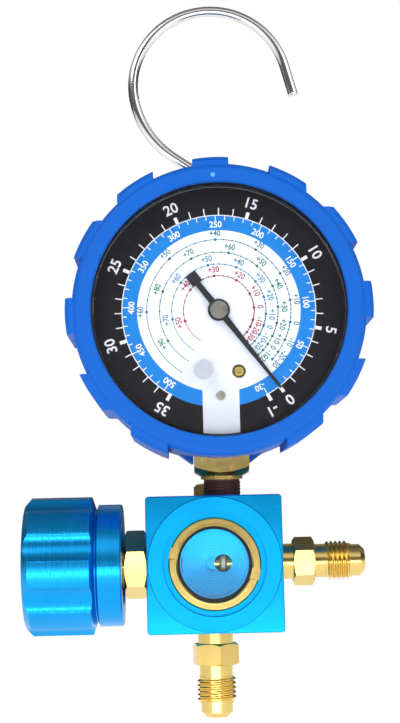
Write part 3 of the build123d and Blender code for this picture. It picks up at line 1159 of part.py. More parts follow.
with BuildPart() as calibration_screw:
    with BuildSketch(facing(DIAL_Y + 1.0)):
        with Locations((CALIBRATION_U, CALIBRATION_W)):
            Circle(CALIBRATION_SCREW_D / 2)
    extrude(amount=1.0)
    fillet(calibration_screw.faces().sort_by(Axis.Y)[0].edges(), 0.4)
    with BuildSketch(facing(FRONT_PLATE_BACK_Y - 0.1)):
        with Locations((CALIBRATION_U, CALIBRATION_W)):
            Circle(CALIBRATION_SHANK_R)
    extrude(amount=FRONT_PLATE_BACK_Y - 0.1 - DIAL_Y - 1.0)
    with BuildSketch(facing(FRONT_PLATE_Y - 0.05)):
        with Locations((CALIBRATION_U, CALIBRATION_W)):
            Circle(CALIBRATION_SCREW_D / 2)
    extrude(amount=0.8)
    with BuildSketch(facing(DIAL_Y + 0.4)):
        with Locations((CALIBRATION_U, CALIBRATION_W)):
            Rectangle(3.0, 0.4, rotation=60)
    extrude(amount=1.0, mode=Mode.SUBTRACT)
finish(calibration_screw, "calibration_screw")

# ---------------------------------------------------------------- pressure tube and link

TUBE_END = TUBE_START + TUBE_SWEEP
TUBE_FRONT_Y = GAUGE_Y - TUBE_WIDTH / 2
TUBE_GAP_ANGLE = degrees(RUN / TUBE_R)

with BuildPart() as bourdon_tube:
    with BuildSketch(tube_plane(TUBE_START)):
        with Locations((TUBE_R, 0)):
            RectangleRounded(TUBE_THICKNESS, TUBE_WIDTH, TUBE_THICKNESS / 2 - 0.01)
            RectangleRounded(TUBE_THICKNESS - 2 * TUBE_WALL, TUBE_WIDTH - 2 * TUBE_WALL,
                             TUBE_THICKNESS / 2 - TUBE_WALL - 0.01, mode=Mode.SUBTRACT)
    revolve(axis=TUBE_AXIS, revolution_arc=TUBE_SWEEP)
finish(bourdon_tube, "bourdon_tube")

with BuildPart() as tube_tip:
    with BuildSketch(tube_plane(TUBE_END + TUBE_GAP_ANGLE)):
        with Locations((TUBE_R, 0)):
            RectangleRounded(TUBE_THICKNESS + 0.4, TUBE_WIDTH, 0.6)
    revolve(axis=TUBE_AXIS, revolution_arc=2 * (TIP_PIN_ANGLE - TUBE_END) + 1.5)
    with BuildSketch(facing(TUBE_FRONT_Y + 1)):
        with Locations(TIP_AT):
            Circle(1.1)
    extrude(amount=TUBE_FRONT_Y + 1 - LINK_Y - LINK_THICKNESS - 0.1)
    with BuildSketch(facing(TUBE_FRONT_Y)):
        with Locations(TIP_AT):
            Circle(LINK_PIN_D / 2)
    extrude(amount=TUBE_FRONT_Y - LINK_Y + 0.3)
finish(tube_tip, "tube_tip")

LINK_EYE_R = 1.5

with BuildPart() as link_rod:
    with BuildSketch(facing(LINK_Y + LINK_THICKNESS)):
        link_angle = degrees(atan2(TAIL_AT[1] - TIP_AT[1], TAIL_AT[0] - TIP_AT[0]))
        with BuildLine():
            Polyline(shifted(TIP_AT, 0.7, link_angle + 90), shifted(TIP_AT, 0.7, link_angle - 90),
                     shifted(TAIL_AT, 0.7, link_angle - 90), shifted(TAIL_AT, 0.7, link_angle + 90), close=True)
        make_face()
        with Locations(TIP_AT, TAIL_AT):
            Circle(LINK_EYE_R)
        with Locations(TIP_AT):
            Circle(LINK_PIN_D / 2 + PIVOT_CLEARANCE, mode=Mode.SUBTRACT)
        with Locations(TAIL_AT):
            Circle(LINK_PIN_D / 2 + LINK_CLEARANCE, mode=Mode.SUBTRACT)
    extrude(amount=LINK_THICKNESS)
finish(link_rod, "link_rod")

# ---------------------------------------------------------------- pointer

POINTER_FRONT_Y = POINTER_Y - POINTER_THICKNESS
pointer_x = cos(radians(POINTER_ANGLE))
pointer_z = sin(radians(POINTER_ANGLE))


def pointer_plane(y):
    """Plane at depth y whose local x runs along the pointer to its tip."""
    return Plane((GAUGE_X, y, GAUGE_Z), x_dir=(pointer_x, 0, pointer_z), z_dir=(0, -1, 0))


with BuildPart() as pointer:
    with BuildSketch(pointer_plane(POINTER_Y)):
        half_root = POINTER_ROOT_WIDTH / 2
        half_tip = POINTER_TIP_WIDTH / 2
        with BuildLine():
            Polyline((0, -half_root), (POINTER_LENGTH - 0.6, -half_tip), (POINTER_LENGTH, 0),
                     (POINTER_LENGTH - 0.6, half_tip), (0, half_root), (-POINTER_TAIL + 1, half_root * 0.8),
                     (-POINTER_TAIL + 1, -half_root * 0.8), close=True)
        make_face()
        with Locations((-POINTER_TAIL + POINTER_TAIL_BLOCK * 0.56, 0)):
            Rectangle(POINTER_TAIL_BLOCK * 1.12, POINTER_TAIL_BLOCK)
        Circle(POINTER_HUB_D / 2)
    extrude(amount=POINTER_THICKNESS)
    with BuildSketch(pointer_plane(POINTER_Y + 0.4)):
        Circle(SHAFT_D / 2 + 0.7)
    extrude(amount=0.5)
    with BuildSketch(pointer_plane(POINTER_Y + 1)):
        Circle(SHAFT_D / 2)
    extrude(amount=POINTER_THICKNESS + 2, mode=Mode.SUBTRACT)
finish(pointer, "pointer")

with BuildPart() as pointer_cap:
    with BuildSketch(pointer_plane(POINTER_FRONT_Y)):
        Circle(POINTER_CAP_D / 2)
    extrude(amount=0.7)
    chamfer(pointer_cap.faces().sort_by(Axis.Y)[0].edges(), 0.3)
    with BuildSketch(pointer_plane(POINTER_FRONT_Y)):
        Circle(SHAFT_D / 2 + RUN)
    extrude(amount=0.15, mode=Mode.SUBTRACT)
finish(pointer_cap, "pointer_cap")
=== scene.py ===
"""Single-valve refrigerant manifold gauge: finishes, threads, dial print and studio."""

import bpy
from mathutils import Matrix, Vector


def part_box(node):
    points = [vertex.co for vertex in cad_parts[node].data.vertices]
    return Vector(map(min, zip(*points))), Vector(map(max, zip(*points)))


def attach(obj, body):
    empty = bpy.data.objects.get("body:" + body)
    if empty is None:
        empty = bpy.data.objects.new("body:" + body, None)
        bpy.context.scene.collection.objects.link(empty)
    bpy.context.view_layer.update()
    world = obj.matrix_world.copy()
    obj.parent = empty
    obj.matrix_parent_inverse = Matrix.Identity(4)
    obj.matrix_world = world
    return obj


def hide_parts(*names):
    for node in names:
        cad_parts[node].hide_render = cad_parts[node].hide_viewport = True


bl_info = {
    "name": "Manifold gauge",
    "version": (1, 0, 0),
    "blender": (4, 5, 0),
    "location": "View3D > Sidebar > Manifold gauge",
    "description": "Finishes, threads and dial print of a refrigerant manifold gauge",
    "category": "Object",
}

from math import cos, pi, radians, sin

import bpy
from bpy.props import FloatProperty, FloatVectorProperty, IntProperty, PointerProperty
from mathutils import Matrix, Vector

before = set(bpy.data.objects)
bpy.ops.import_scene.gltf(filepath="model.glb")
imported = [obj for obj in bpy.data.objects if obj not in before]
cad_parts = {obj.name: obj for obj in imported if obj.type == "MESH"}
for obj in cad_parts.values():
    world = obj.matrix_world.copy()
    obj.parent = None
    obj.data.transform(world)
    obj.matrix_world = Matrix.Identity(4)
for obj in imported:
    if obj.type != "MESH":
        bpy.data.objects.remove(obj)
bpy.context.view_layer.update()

MM = 0.001


def middle(node, axis):
    """Middle of a CAD node along one axis, in metres."""
    low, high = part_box(node)
    return (low[axis] + high[axis]) / 2


VALVE_Z = middle("sight_glass", 2)
GAUGE_X = middle("dial_plate", 0)
GAUGE_Z = middle("dial_plate", 2)
DIAL_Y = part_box("dial_plate")[0][1]
BLOCK_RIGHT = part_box("manifold_block")[1][0]
BLOCK_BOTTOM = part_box("manifold_block")[0][2]
SOCKET_X = middle("thread_seal", 0)
SOCKET_Y = middle("thread_seal", 1)
HOOK_Y = middle("hook_nut", 1)
CENTRE = Vector((GAUGE_X, 0, GAUGE_Z))
VALVE_CENTRE = (0, 0, VALVE_Z)

# Flare port, along its own axis from the block's face, and its radii
FLARE_START = 12.7 * MM
FLARE_END = 20.2 * MM
FLARE_CREST = 5.555 * MM
FLARE_NECK = 4.75 * MM
FLARE_NOSE = 4.5 * MM
FLARE_CORE = 4.6 * MM

PIPE_BORE = 5.12 * MM
LATHE_STEPS = 64

# Block front: the turned boss, the painted shade line round its step, and the floor of the sight well, with
# painted shade in its turning grooves
BOSS_RADIUS = 18.45 * MM
BOSS_SHADE_LINE_RADIUS = 18.6 * MM
BOSS_SHADE_LINE_HALF_WIDTH = 0.16 * MM
WELL_RADIUS = 9.2 * MM
WELL_GROOVE = 0.8 * MM

# Dial print
BAR_PER_POUND = 0.06895
CAP_HEIGHT = 0.7
TEMPERATURE_END = radians(238.5)

# Camera: focal length and sideways shift in pixels of a picture this high
PICTURE_HEIGHT = 723
FOCAL_PIXELS = 1448
SHIFT_PIXELS = 18
SENSOR_HEIGHT = 24.0

# Radians that a wave texture's rings turn through in one unit of radius
WAVE_RADIANS = 20


# ---------------------------------------------------------------- sizes and colours


def colour(name, description, value):
    return FloatVectorProperty(name=name, description=description, default=value, subtype="COLOR", size=3,
                               min=0, max=1)


def length(name, description, millimetres):
    return FloatProperty(name=name, description=description, default=millimetres * MM, unit="LENGTH",
                         precision=5)


def angle(name, description, degrees_):
    return FloatProperty(name=name, description=description, default=radians(degrees_), unit="ROTATION")


class GaugeFinishes(bpy.types.PropertyGroup):
    """Colours of the gauge's materials."""

    block: colour("Block", "Anodised colour of the manifold block", (0.0, 0.37, 0.80))
    boot: colour("Boot", "Colour of the soft boot round the gauge", (0.002, 0.118, 0.57))
    knob: colour("Knob", "Colour of the valve knob", (0.004, 0.32, 0.74))
    brass: colour("Brass", "Colour of the turned brass", (0.76, 0.56, 0.18))
    bronze: colour("Bronze", "Colour of the tube and hairspring", (0.66, 0.42, 0.24))
    steel: colour("Steel", "Colour of the plated wire and screws", (0.74, 0.74, 0.73))
    dial_black: colour("Dial black", "Outer band of the dial", (0.007, 0.006, 0.008))
    dial_blue: colour("Dial blue", "Ring of the pound scale", (0.006, 0.21, 0.66))
    dial_white: colour("Dial white", "Middle and lower strip of the dial", (0.80, 0.83, 0.93))
    scale_teal: colour("Teal", "Outer temperature scale", (0.010, 0.160, 0.200))
    scale_green: colour("Green", "Second temperature scale", (0.005, 0.200, 0.075))
    scale_blue: colour("Blue", "Third temperature scale", (0.010, 0.215, 0.360))
    scale_red: colour("Red", "Inner temperature scale", (0.420, 0.005, 0.012))
    sealant: colour("Sealant", "Dried sealant on the pipe thread", (0.060, 0.012, 0.008))


class GaugeThreads(bpy.types.PropertyGroup):
    """Sizes of the outside threads."""

    flare_pitch: length("Flare pitch", "Pitch of the flare threads", 1.27)
    flare_depth: length("Flare depth", "Depth of the flare threads", 0.72)
    pipe_pitch: length("Pipe pitch", "Pitch of the gauge's pipe thread", 0.94)
    pipe_depth: length("Pipe depth", "Depth of the gauge's pipe thread", 0.20)
    steps: IntProperty(name="Steps", description="Segments in one turn of a thread", default=40, min=12)


class GaugeDial(bpy.types.PropertyGroup):
    """Places of the dial's printed marks."""

    zero: angle("Zero", "Direction of the zero mark, anticlockwise from the right", -53.0)
    per_bar: angle("Per bar", "Turn of the pointer for each bar", 8.34)
    vacuum: angle("Vacuum", "Direction of the full vacuum mark", -61.4)
    white_radius: length("White disc", "Radius of the white middle", 22.9)
    ring_radius: length("Blue ring", "Outer radius of the blue ring", 27.15)
    edge_radius: length("Edge line", "Radius of the thin line at the edge", 35.3)
    strip: length("Strip", "Half width of the white strip", 5.1)
    film: length("Ink", "Thickness of the printed ink", 0.03)


class GaugeStage(bpy.types.PropertyGroup):
    """Floor, lights and surroundings."""

    floor_drop: length("Floor drop", "Height of the bottom port above the floor", 90)
    key: FloatProperty(name="Key", description="Power of the key light", default=3.6, unit="POWER")
    fill: FloatProperty(name="Fill", description="Power of the fill light", default=2.0, unit="POWER")
    low: FloatProperty(name="Low", description="Power of the low panel", default=0.9, unit="POWER")
    world: FloatProperty(name="Surroundings", description="Brightness of the surroundings", default=1.0)


# ---------------------------------------------------------------- materials


def new_material(name):
    """A material with a Principled shader. Returns the material, its nodes, links and shader."""
    material = bpy.data.materials.new(name)
    material.use_nodes = True
    tree = material.node_tree
    return material, tree.nodes, tree.links, tree.nodes["Principled BSDF"]


def place(nodes, links, at=(0, 0, 0), scale=(1, 1, 1)):
    """Object coordinates moved so that `at` is the pattern's middle, then scaled."""
    where = nodes.new("ShaderNodeTexCoord")
    shift = nodes.new("ShaderNodeVectorMath")
    shift.operation = "SUBTRACT"
    shift.inputs[1].default_value = at
    links.new(where.outputs["Object"], shift.inputs[0])
    mapping = nodes.new("ShaderNodeMapping")
    mapping.inputs["Scale"].default_value = scale
    links.new(shift.outputs[0], mapping.inputs["Vector"])
    return mapping.outputs["Vector"]


def noise(nodes, links, vector, scale, detail):
    """Cloudy 0 to 1 pattern."""
    texture = nodes.new("ShaderNodeTexNoise")
    texture.inputs["Scale"].default_value = scale
    texture.inputs["Detail"].default_value = detail
    texture.inputs["Roughness"].default_value = 0.55
    links.new(vector, texture.inputs["Vector"])
    return texture.outputs["Fac"]


def rings(nodes, links, vector, axis, width, distortion=0.6):
    """Turned rings about an axis, each taking `width` metres of radius."""
    wave = nodes.new("ShaderNodeTexWave")
    wave.wave_type = "RINGS"
    wave.rings_direction = axis
    wave.inputs["Scale"].default_value = 2 * pi / WAVE_RADIANS / width
    wave.inputs["Distortion"].default_value = distortion
    wave.inputs["Detail"].default_value = 2.0
    wave.inputs["Detail Scale"].default_value = 2.0
    links.new(vector, wave.inputs["Vector"])
    return wave.outputs["Fac"]


def span(nodes, links, value, low, high):
    """Map a 0 to 1 value to low to high."""
    fit = nodes.new("ShaderNodeMapRange")
    fit.inputs["To Min"].default_value = low
    fit.inputs["To Max"].default_value = high
    links.new(value, fit.inputs["Value"])
    return fit.outputs["Result"]


def tint(nodes, links, value, base, low, high):
    """The base colour, darker and lighter by a 0 to 1 value."""
    ramp = nodes.new("ShaderNodeMix")
    ramp.data_type = "RGBA"
    ramp.inputs["A"].default_value = [min(1.0, c * low) for c in base] + [1]
    ramp.inputs["B"].default_value = [min(1.0, c * high) for c in base] + [1]
    links.new(value, ramp.inputs["Factor"])
    return ramp.outputs["Result"]


def blend_colours(nodes, links, factor, first, second):
    """Mix of two colours, each a socket or three numbers, by a socket."""
    mix = nodes.new("ShaderNodeMix")
    mix.data_type = "RGBA"
    for socket, value in ((mix.inputs["A"], first), (mix.inputs["B"], second)):
        if isinstance(value, bpy.types.NodeSocket):
            links.new(value, socket)
        else:
            socket.default_value = list(value) + [1]
    links.new(factor, mix.inputs["Factor"])
    return mix.outputs["Result"]


def sums(nodes, links, operation, first, second):
    """One Math node; each input is a socket or a number."""
    node = nodes.new("ShaderNodeMath")
    node.operation = operation
    for socket, value in zip(node.inputs, (first, second)):
        if isinstance(value, bpy.types.NodeSocket):
            links.new(value, socket)
        else:
            socket.default_value = value
    return node.outputs[0]


def raise_by(nodes, links, shader, height, strength, distance):
    """Bump the shader's normal by a height."""
    bump = nodes.new("ShaderNodeBump")
    bump.inputs["Strength"].default_value = strength
    bump.inputs["Distance"].default_value = distance
    links.new(height, bump.inputs["Height"])
    links.new(bump.outputs["Normal"], shader.inputs["Normal"])


def turned_metal(name, base, rough, axis, at, ring_width=1.571 * MM, grain=0.35, mottle=0.08):
    """Turned metal: fine rings about an axis and a faint mottle."""
    material, nodes, links, shader = new_material(name)
    shader.inputs["Metallic"].default_value = 1.0
    centred = place(nodes, links, at)
    cloud = noise(nodes, links, centred, 260, 4.0)
    links.new(tint(nodes, links, cloud, base, 1 - mottle, 1 + mottle), shader.inputs["Base Color"])
    fine = rings(nodes, links, centred, axis, ring_width)
    scratch = noise(nodes, links, centred, 1600, 2.0)
    rough_value = sums(nodes, links, "ADD", span(nodes, links, cloud, rough * 0.7, rough * 1.25),
                       span(nodes, links, scratch, -0.03, 0.03))
    links.new(rough_value, shader.inputs["Roughness"])
    height = sums(nodes, links, "ADD", fine, span(nodes, links, scratch, 0, 0.4))
    raise_by(nodes, links, shader, height, grain, 0.01 * MM)
    return material


def soft_plastic(name, base, rough, grain_scale, grain, coat=0.0):
    """Moulded plastic or rubber: fine grain, slow colour drift and uneven gloss."""
    material, nodes, links, shader = new_material(name)
    where = place(nodes, links)
    slow = noise(nodes, links, where, 35, 2.0)
    links.new(tint(nodes, links, slow, base, 0.90, 1.08), shader.inputs["Base Color"])
    fine = noise(nodes, links, where, grain_scale, 3.0)
    links.new(span(nodes, links, fine, rough * 0.85, rough * 1.15), shader.inputs["Roughness"])
    raise_by(nodes, links, shader, fine, grain, 0.03 * MM)
    shader.inputs["Coat Weight"].default_value = coat
    shader.inputs["Coat Roughness"].default_value = 0.12
    return material


def clear_material(name, base, roughness, ior):
    """Clear glass or plastic that lets lamps through."""
    material, nodes, links, shader = new_material(name)
    shader.inputs["Base Color"].default_value = list(base) + [1]
    shader.inputs["Transmission Weight"].default_value = 1.0
    shader.inputs["IOR"].default_value = ior
    fog = noise(nodes, links, place(nodes, links), 90, 2.0)
    links.new(span(nodes, links, fog, roughness * 0.5, roughness * 1.5), shader.inputs["Roughness"])
    path = nodes.new("ShaderNodeLightPath")
    through = nodes.new("ShaderNodeBsdfTransparent")
    through.inputs["Color"].default_value = list(base) + [1]
    mix = nodes.new("ShaderNodeMixShader")
    links.new(path.outputs["Is Shadow Ray"], mix.inputs["Fac"])
    links.new(shader.outputs["BSDF"], mix.inputs[1])
    links.new(through.outputs["BSDF"], mix.inputs[2])
    links.new(mix.outputs["Shader"], nodes["Material Output"].inputs["Surface"])
    return material


def dial_material(finishes, dial):
    """Enamelled dial: white middle and strip, blue ring, black band, with painted shade darkening the strip
    towards its bottom edge.
    """
    material, nodes, links, shader = new_material("dial_enamel")
    flat = place(nodes, links, CENTRE, (1, 0, 1))
    radius = nodes.new("ShaderNodeVectorMath")
    radius.operation = "LENGTH"
    links.new(flat, radius.inputs[0])
    away = radius.outputs["Value"]
    split = nodes.new("ShaderNodeSeparateXYZ")
    links.new(flat, split.inputs[0])
    beyond_white = sums(nodes, links, "GREATER_THAN", away, dial.white_radius)
    beyond_ring = sums(nodes, links, "GREATER_THAN", away, dial.ring_radius)
    sideways = sums(nodes, links, "ABSOLUTE", split.outputs["X"], 0)
    across = sums(nodes, links, "LESS_THAN", sideways, dial.strip)
    below = sums(nodes, links, "LESS_THAN", split.outputs["Z"], 0)
    strip = sums(nodes, links, "MULTIPLY", across, below)
    face = blend_colours(nodes, links, beyond_white, finishes.dial_white, finishes.dial_blue)
    face = blend_colours(nodes, links, beyond_ring, face, finishes.dial_black)
    # Painted shade: the white strip darkens towards the bottom edge of the dial, down to 0.7 of its white
    strip_shade_ramp = span(nodes, links, split.outputs["Z"], 0.6, 0)
    strip_shade_ramp.node.inputs["From Min"].default_value = -dial.edge_radius
    strip_shade_ramp.node.inputs["From Max"].default_value = -dial.white_radius
    strip_shade_colour = blend_colours(nodes, links, strip_shade_ramp, finishes.dial_white, [c * 0.5 for c in finishes.dial_white])
    face = blend_colours(nodes, links, strip, face, strip_shade_colour)
    cloud = noise(nodes, links, place(nodes, links), 120, 3.0)
    shade = nodes.new("ShaderNodeMix")
    shade.data_type = "RGBA"
    shade.blend_type = "MULTIPLY"
    shade.inputs["Factor"].default_value = 1.0
    links.new(face, shade.inputs["A"])
    links.new(tint(nodes, links, cloud, (1, 1, 1), 0.95, 1.0), shade.inputs["B"])
    links.new(shade.outputs["Result"], shader.inputs["Base Color"])
    grain = noise(nodes, links, place(nodes, links), 2600, 2.0)
    links.new(span(nodes, links, grain, 0.32, 0.45), shader.inputs["Roughness"])
    shader.inputs["Specular IOR Level"].default_value = 0.2
    raise_by(nodes, links, shader, grain, 0.08, 0.01 * MM)
    return material


def block_material(finishes):
    """Anodised block: milled faces, turned boss and well floor, with a painted shade line round the boss's
    step and painted shade in the well floor's turning grooves.
    """
    material, nodes, links, shader = new_material("blue_anodising")
    centred = place(nodes, links, VALVE_CENTRE)
    cloud = noise(nodes, links, centred, 70, 4.0)
    shader.inputs["Metallic"].default_value = 0.85
    milled = noise(nodes, links, place(nodes, links, VALVE_CENTRE, (60, 1200, 1600)), 1.0, 2.0)
    turned = rings(nodes, links, centred, "Y", 2.199 * MM, 0.3)
    flat = place(nodes, links, VALVE_CENTRE, (1, 0, 1))
    radius = nodes.new("ShaderNodeVectorMath")
    radius.operation = "LENGTH"
    links.new(flat, radius.inputs[0])
    away = radius.outputs["Value"]
    split = nodes.new("ShaderNodeSeparateXYZ")
    links.new(centred, split.inputs[0])
    front = sums(nodes, links, "LESS_THAN", split.outputs["Y"], 0)
    inside = sums(nodes, links, "MULTIPLY", front, sums(nodes, links, "LESS_THAN", away, BOSS_RADIUS))
    # A thin dark ring just outside the boss, on the front only: painted shade of the boss's step
    off_shade_line = sums(nodes, links, "ABSOLUTE", sums(nodes, links, "SUBTRACT", away, BOSS_SHADE_LINE_RADIUS), 0)
    line = sums(nodes, links, "LESS_THAN", off_shade_line, BOSS_SHADE_LINE_HALF_WIDTH)
    well = sums(nodes, links, "LESS_THAN", away, WELL_RADIUS)
    # The turning grooves of the well floor are real; their darker rings are painted shade
    cuts = sums(nodes, links, "SINE", sums(nodes, links, "MULTIPLY", away, 2 * pi / WELL_GROOVE), 0)
    well_groove_shade = sums(nodes, links, "MULTIPLY", well, span(nodes, links, cuts, 0.0, 0.45))
    plain = tint(nodes, links, cloud, finishes.block, 0.88, 1.10)
    groove_shaded = blend_colours(nodes, links, well_groove_shade, plain, [c * 0.45 for c in finishes.block])
    # faint is how strongly the painted shade line darkens the block's colour
    faint = sums(nodes, links, "MULTIPLY", line, sums(nodes, links, "MULTIPLY", front, 0.55))
    boss_shaded = blend_colours(nodes, links, faint, groove_shaded, [c * 0.25 for c in finishes.block])
    links.new(boss_shaded, shader.inputs["Base Color"])
    height = nodes.new("ShaderNodeMix")
    links.new(inside, height.inputs["Factor"])
    links.new(milled, height.inputs["A"])
    links.new(turned, height.inputs["B"])
    spread = sums(nodes, links, "MULTIPLY", inside, 0.16)
    gloss = sums(nodes, links, "ADD", span(nodes, links, cloud, 0.20, 0.28), spread)
    links.new(gloss, shader.inputs["Roughness"])
    raise_by(nodes, links, shader, height.outputs["Result"], 0.28, 0.02 * MM)
    return material


def make_materials():
    """All finishes, by name."""
    scene = bpy.context.scene
    finishes = scene.gauge_finishes
    made = {
        "block": block_material(finishes),
        "brass_x": turned_metal("brass_turned_along_x", finishes.brass, 0.20, "X", VALVE_CENTRE),
        "brass_z": turned_metal("brass_turned_along_z", finishes.brass, 0.20, "Z", (0, 0, 0)),
        "brass_y": turned_metal("brass_turned_along_y", finishes.brass, 0.20, "Y", VALVE_CENTRE, 1.885 * MM),
        "brass_socket": turned_metal("brass_socket", [c * 0.74 for c in finishes.brass], 0.27, "Z",
                                     (SOCKET_X, SOCKET_Y, 0), mottle=0.14),
        "brass_plate": turned_metal("brass_plate", finishes.brass, 0.30, "Y", CENTRE),
        "bronze": turned_metal("bronze_drawn", finishes.bronze, 0.28, "Y", CENTRE),
        "steel": turned_metal("bright_plating", finishes.steel, 0.14, "Z", (0, HOOK_Y, 0), 2.513 * MM,
                              grain=0.15, mottle=0.05),
        "steel_cap": turned_metal("brushed_nickel", (0.52, 0.50, 0.42), 0.30, "Y", CENTRE, 1.257 * MM),
        "boot": boot_material(finishes),
        "knob": knob_material(finishes),
        "black_rubber": soft_plastic("black_rubber", (0.012, 0.012, 0.013), 0.5, 1800, 0.2),
        "white_seal": soft_plastic("white_seal", (0.80, 0.80, 0.78), 0.45, 1200, 0.1),
        "case": soft_plastic("black_enamel", (0.012, 0.012, 0.014), 0.30, 900, 0.08, 0.3),
        "pointer": soft_plastic("pointer_enamel", (0.010, 0.010, 0.011), 0.38, 2200, 0.06),
        "sealant": soft_plastic("thread_sealant", finishes.sealant, 0.38, 1400, 0.4),
        "lens": clear_material("clear_lens", (0.97, 0.98, 0.99), 0.02, 1.46),
        "glass": clear_material("clear_glass", (0.90, 0.98, 0.99), 0.02, 1.50),
        "plug": plug_material(),
        "dial": dial_material(finishes, scene.gauge_dial),
    }
    for name, base in (("ink_white", (0.86, 0.87, 0.90)), ("ink_teal", finishes.scale_teal),
                       ("ink_green", finishes.scale_green), ("ink_blue", finishes.scale_blue),
                       ("ink_red", finishes.scale_red), ("ink_grey", (0.30, 0.31, 0.34))):
        made[name] = soft_plastic(name, base, 0.42, 2600, 0.05)
    return made


def boot_material(finishes):
    """Soft moulded boot with fine grain and a small lighter blue spot near the top of its opening."""
    material = soft_plastic("boot_rubber", finishes.boot, 0.52, 1300, 0.16)
    nodes, links = material.node_tree.nodes, material.node_tree.links
    shader = nodes["Principled BSDF"]
    shader.inputs["Specular IOR Level"].default_value = 0.2
    # A small lighter blue spot, 0.62 mm in radius, just above the gauge's opening
    spot_centre = (GAUGE_X - 0.9 * MM, 0, GAUGE_Z + 37.3 * MM)
    distance = nodes.new("ShaderNodeVectorMath")
    distance.operation = "LENGTH"
    links.new(place(nodes, links, spot_centre, (1, 0, 1)), distance.inputs[0])
    spot = sums(nodes, links, "LESS_THAN", distance.outputs["Value"], 0.62 * MM)
    plain = shader.inputs["Base Color"].links[0].from_socket
    links.new(blend_colours(nodes, links, spot, plain, (0.12, 0.42, 0.90)), shader.inputs["Base Color"])
    return material


def knob_material(finishes):
    """Metallised knob: fine streaks round the valve axis."""
    material, nodes, links, shader = new_material("knob_metallised")
    shader.inputs["Metallic"].default_value = 0.85
    cloud = noise(nodes, links, place(nodes, links, VALVE_CENTRE), 60, 3.0)
    links.new(tint(nodes, links, cloud, finishes.knob, 0.9, 1.12), shader.inputs["Base Color"])
    streak = noise(nodes, links, place(nodes, links, VALVE_CENTRE, (2600, 40, 40)), 1.0, 2.0)
    links.new(span(nodes, links, streak, 0.20, 0.34), shader.inputs["Roughness"])
    raise_by(nodes, links, shader, streak, 0.18, 0.02 * MM)
    return material


def plug_material():
    """Frosted plug of the lens: milky and half see-through."""
    material, nodes, links, shader = new_material("frosted_plug")
    fog = noise(nodes, links, place(nodes, links), 700, 3.0)
    links.new(tint(nodes, links, fog, (0.70, 0.74, 0.80), 0.92, 1.05), shader.inputs["Base Color"])
    links.new(span(nodes, links, fog, 0.30, 0.45), shader.inputs["Roughness"])
    shader.inputs["Transmission Weight"].default_value = 0.45
    shader.inputs["IOR"].default_value = 1.4
    raise_by(nodes, links, shader, fog, 0.2, 0.02 * MM)
    return material


MATERIALS = {}

NODE_FINISH = {
    "manifold_block": "block", "sight_gasket": "black_rubber", "sight_glass": "glass",
    "sight_ring": "brass_y", "right_port": "brass_x", "bottom_port": "brass_z", "valve_bonnet": "brass_x",
    "bonnet_oring": "black_rubber", "stem_orings": "black_rubber", "valve_stem": "brass_x",
    "seat_disc": "white_seal", "knob": "knob",
    "knob_washer": "steel", "knob_screw": "steel", "hook_nut": "brass_z", "hook_wire": "steel",
    "gauge_socket": "brass_socket", "thread_seal": "sealant", "restrictor_screw": "brass_socket",
    "gauge_case": "case", "case_screws": "steel", "protective_boot": "boot", "bourdon_tube": "bronze",
    "tube_tip": "brass_plate", "link_rod": "brass_plate", "movement_back_plate": "brass_plate",
    "movement_front_plate": "brass_plate", "movement_pillars": "brass_plate", "movement_screws": "steel",
    "sector_gear": "brass_plate", "pinion_shaft": "steel", "hairspring_collet": "brass_plate",
    "hairspring": "bronze", "hairspring_stud": "brass_plate", "calibration_screw": "brass_plate",
    "dial_post": "brass_plate", "dial_plate": "dial", "dial_screw": "steel_cap", "pointer": "pointer",
    "pointer_cap": "steel_cap", "lens_gasket": "black_rubber", "lens": "lens", "lens_plug": "plug",
}


# ---------------------------------------------------------------- modelling helpers


def start_clean():
    """Object mode with nothing selected."""
    if bpy.context.mode != "OBJECT":
        bpy.ops.object.mode_set(mode="OBJECT")
    bpy.ops.object.select_all(action="DESELECT")


def trace(name, points, closed=False):
    """A new object whose mesh is a line through the points, left in edit mode and selected."""
    start_clean()
    bpy.ops.mesh.primitive_plane_add(size=MM, location=(0, 0, 0))
    piece = bpy.context.object
    piece.name = name
    bpy.ops.object.mode_set(mode="EDIT")
    bpy.ops.mesh.merge(type="CENTER")
    bpy.ops.transform.translate(value=points[0])
    for here, there in zip(points, points[1:]):
        step = Vector(there) - Vector(here)
        bpy.ops.mesh.extrude_region_move(TRANSFORM_OT_translate={"value": step})
    bpy.ops.mesh.select_all(action="SELECT")
    if closed:
        bpy.ops.mesh.edge_face_add()
    return piece


def tidy_mesh(threshold=0.001 * MM):
    """Merge doubles and turn the faces outwards, in edit mode, then leave it."""
    bpy.ops.mesh.select_all(action="SELECT")
    bpy.ops.mesh.remove_doubles(threshold=threshold)
    bpy.ops.mesh.normals_make_consistent(inside=False)
    bpy.ops.object.mode_set(mode="OBJECT")


def join(pieces, name):
    """Join pieces into one object."""
    start_clean()
    for piece in pieces:
        piece.select_set(True)
    bpy.context.view_layer.objects.active = pieces[0]
    bpy.ops.object.join()
    result = bpy.context.object
    result.name = name
    return result


def settle(piece, name, body, finish, smooth=0):
    """Apply the piece's place, name it, give it its finish and let it ride on its body."""
    start_clean()
    piece.select_set(True)
    bpy.context.view_layer.objects.active = piece
    bpy.ops.object.transform_apply(location=True, rotation=True, scale=True)
    if smooth:
        bpy.ops.object.shade_smooth_by_angle(angle=radians(smooth))
    piece.name = name
    piece.data.name = name
    piece.data.materials.clear()
    piece.data.materials.append(MATERIALS[finish])
    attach(piece, body)


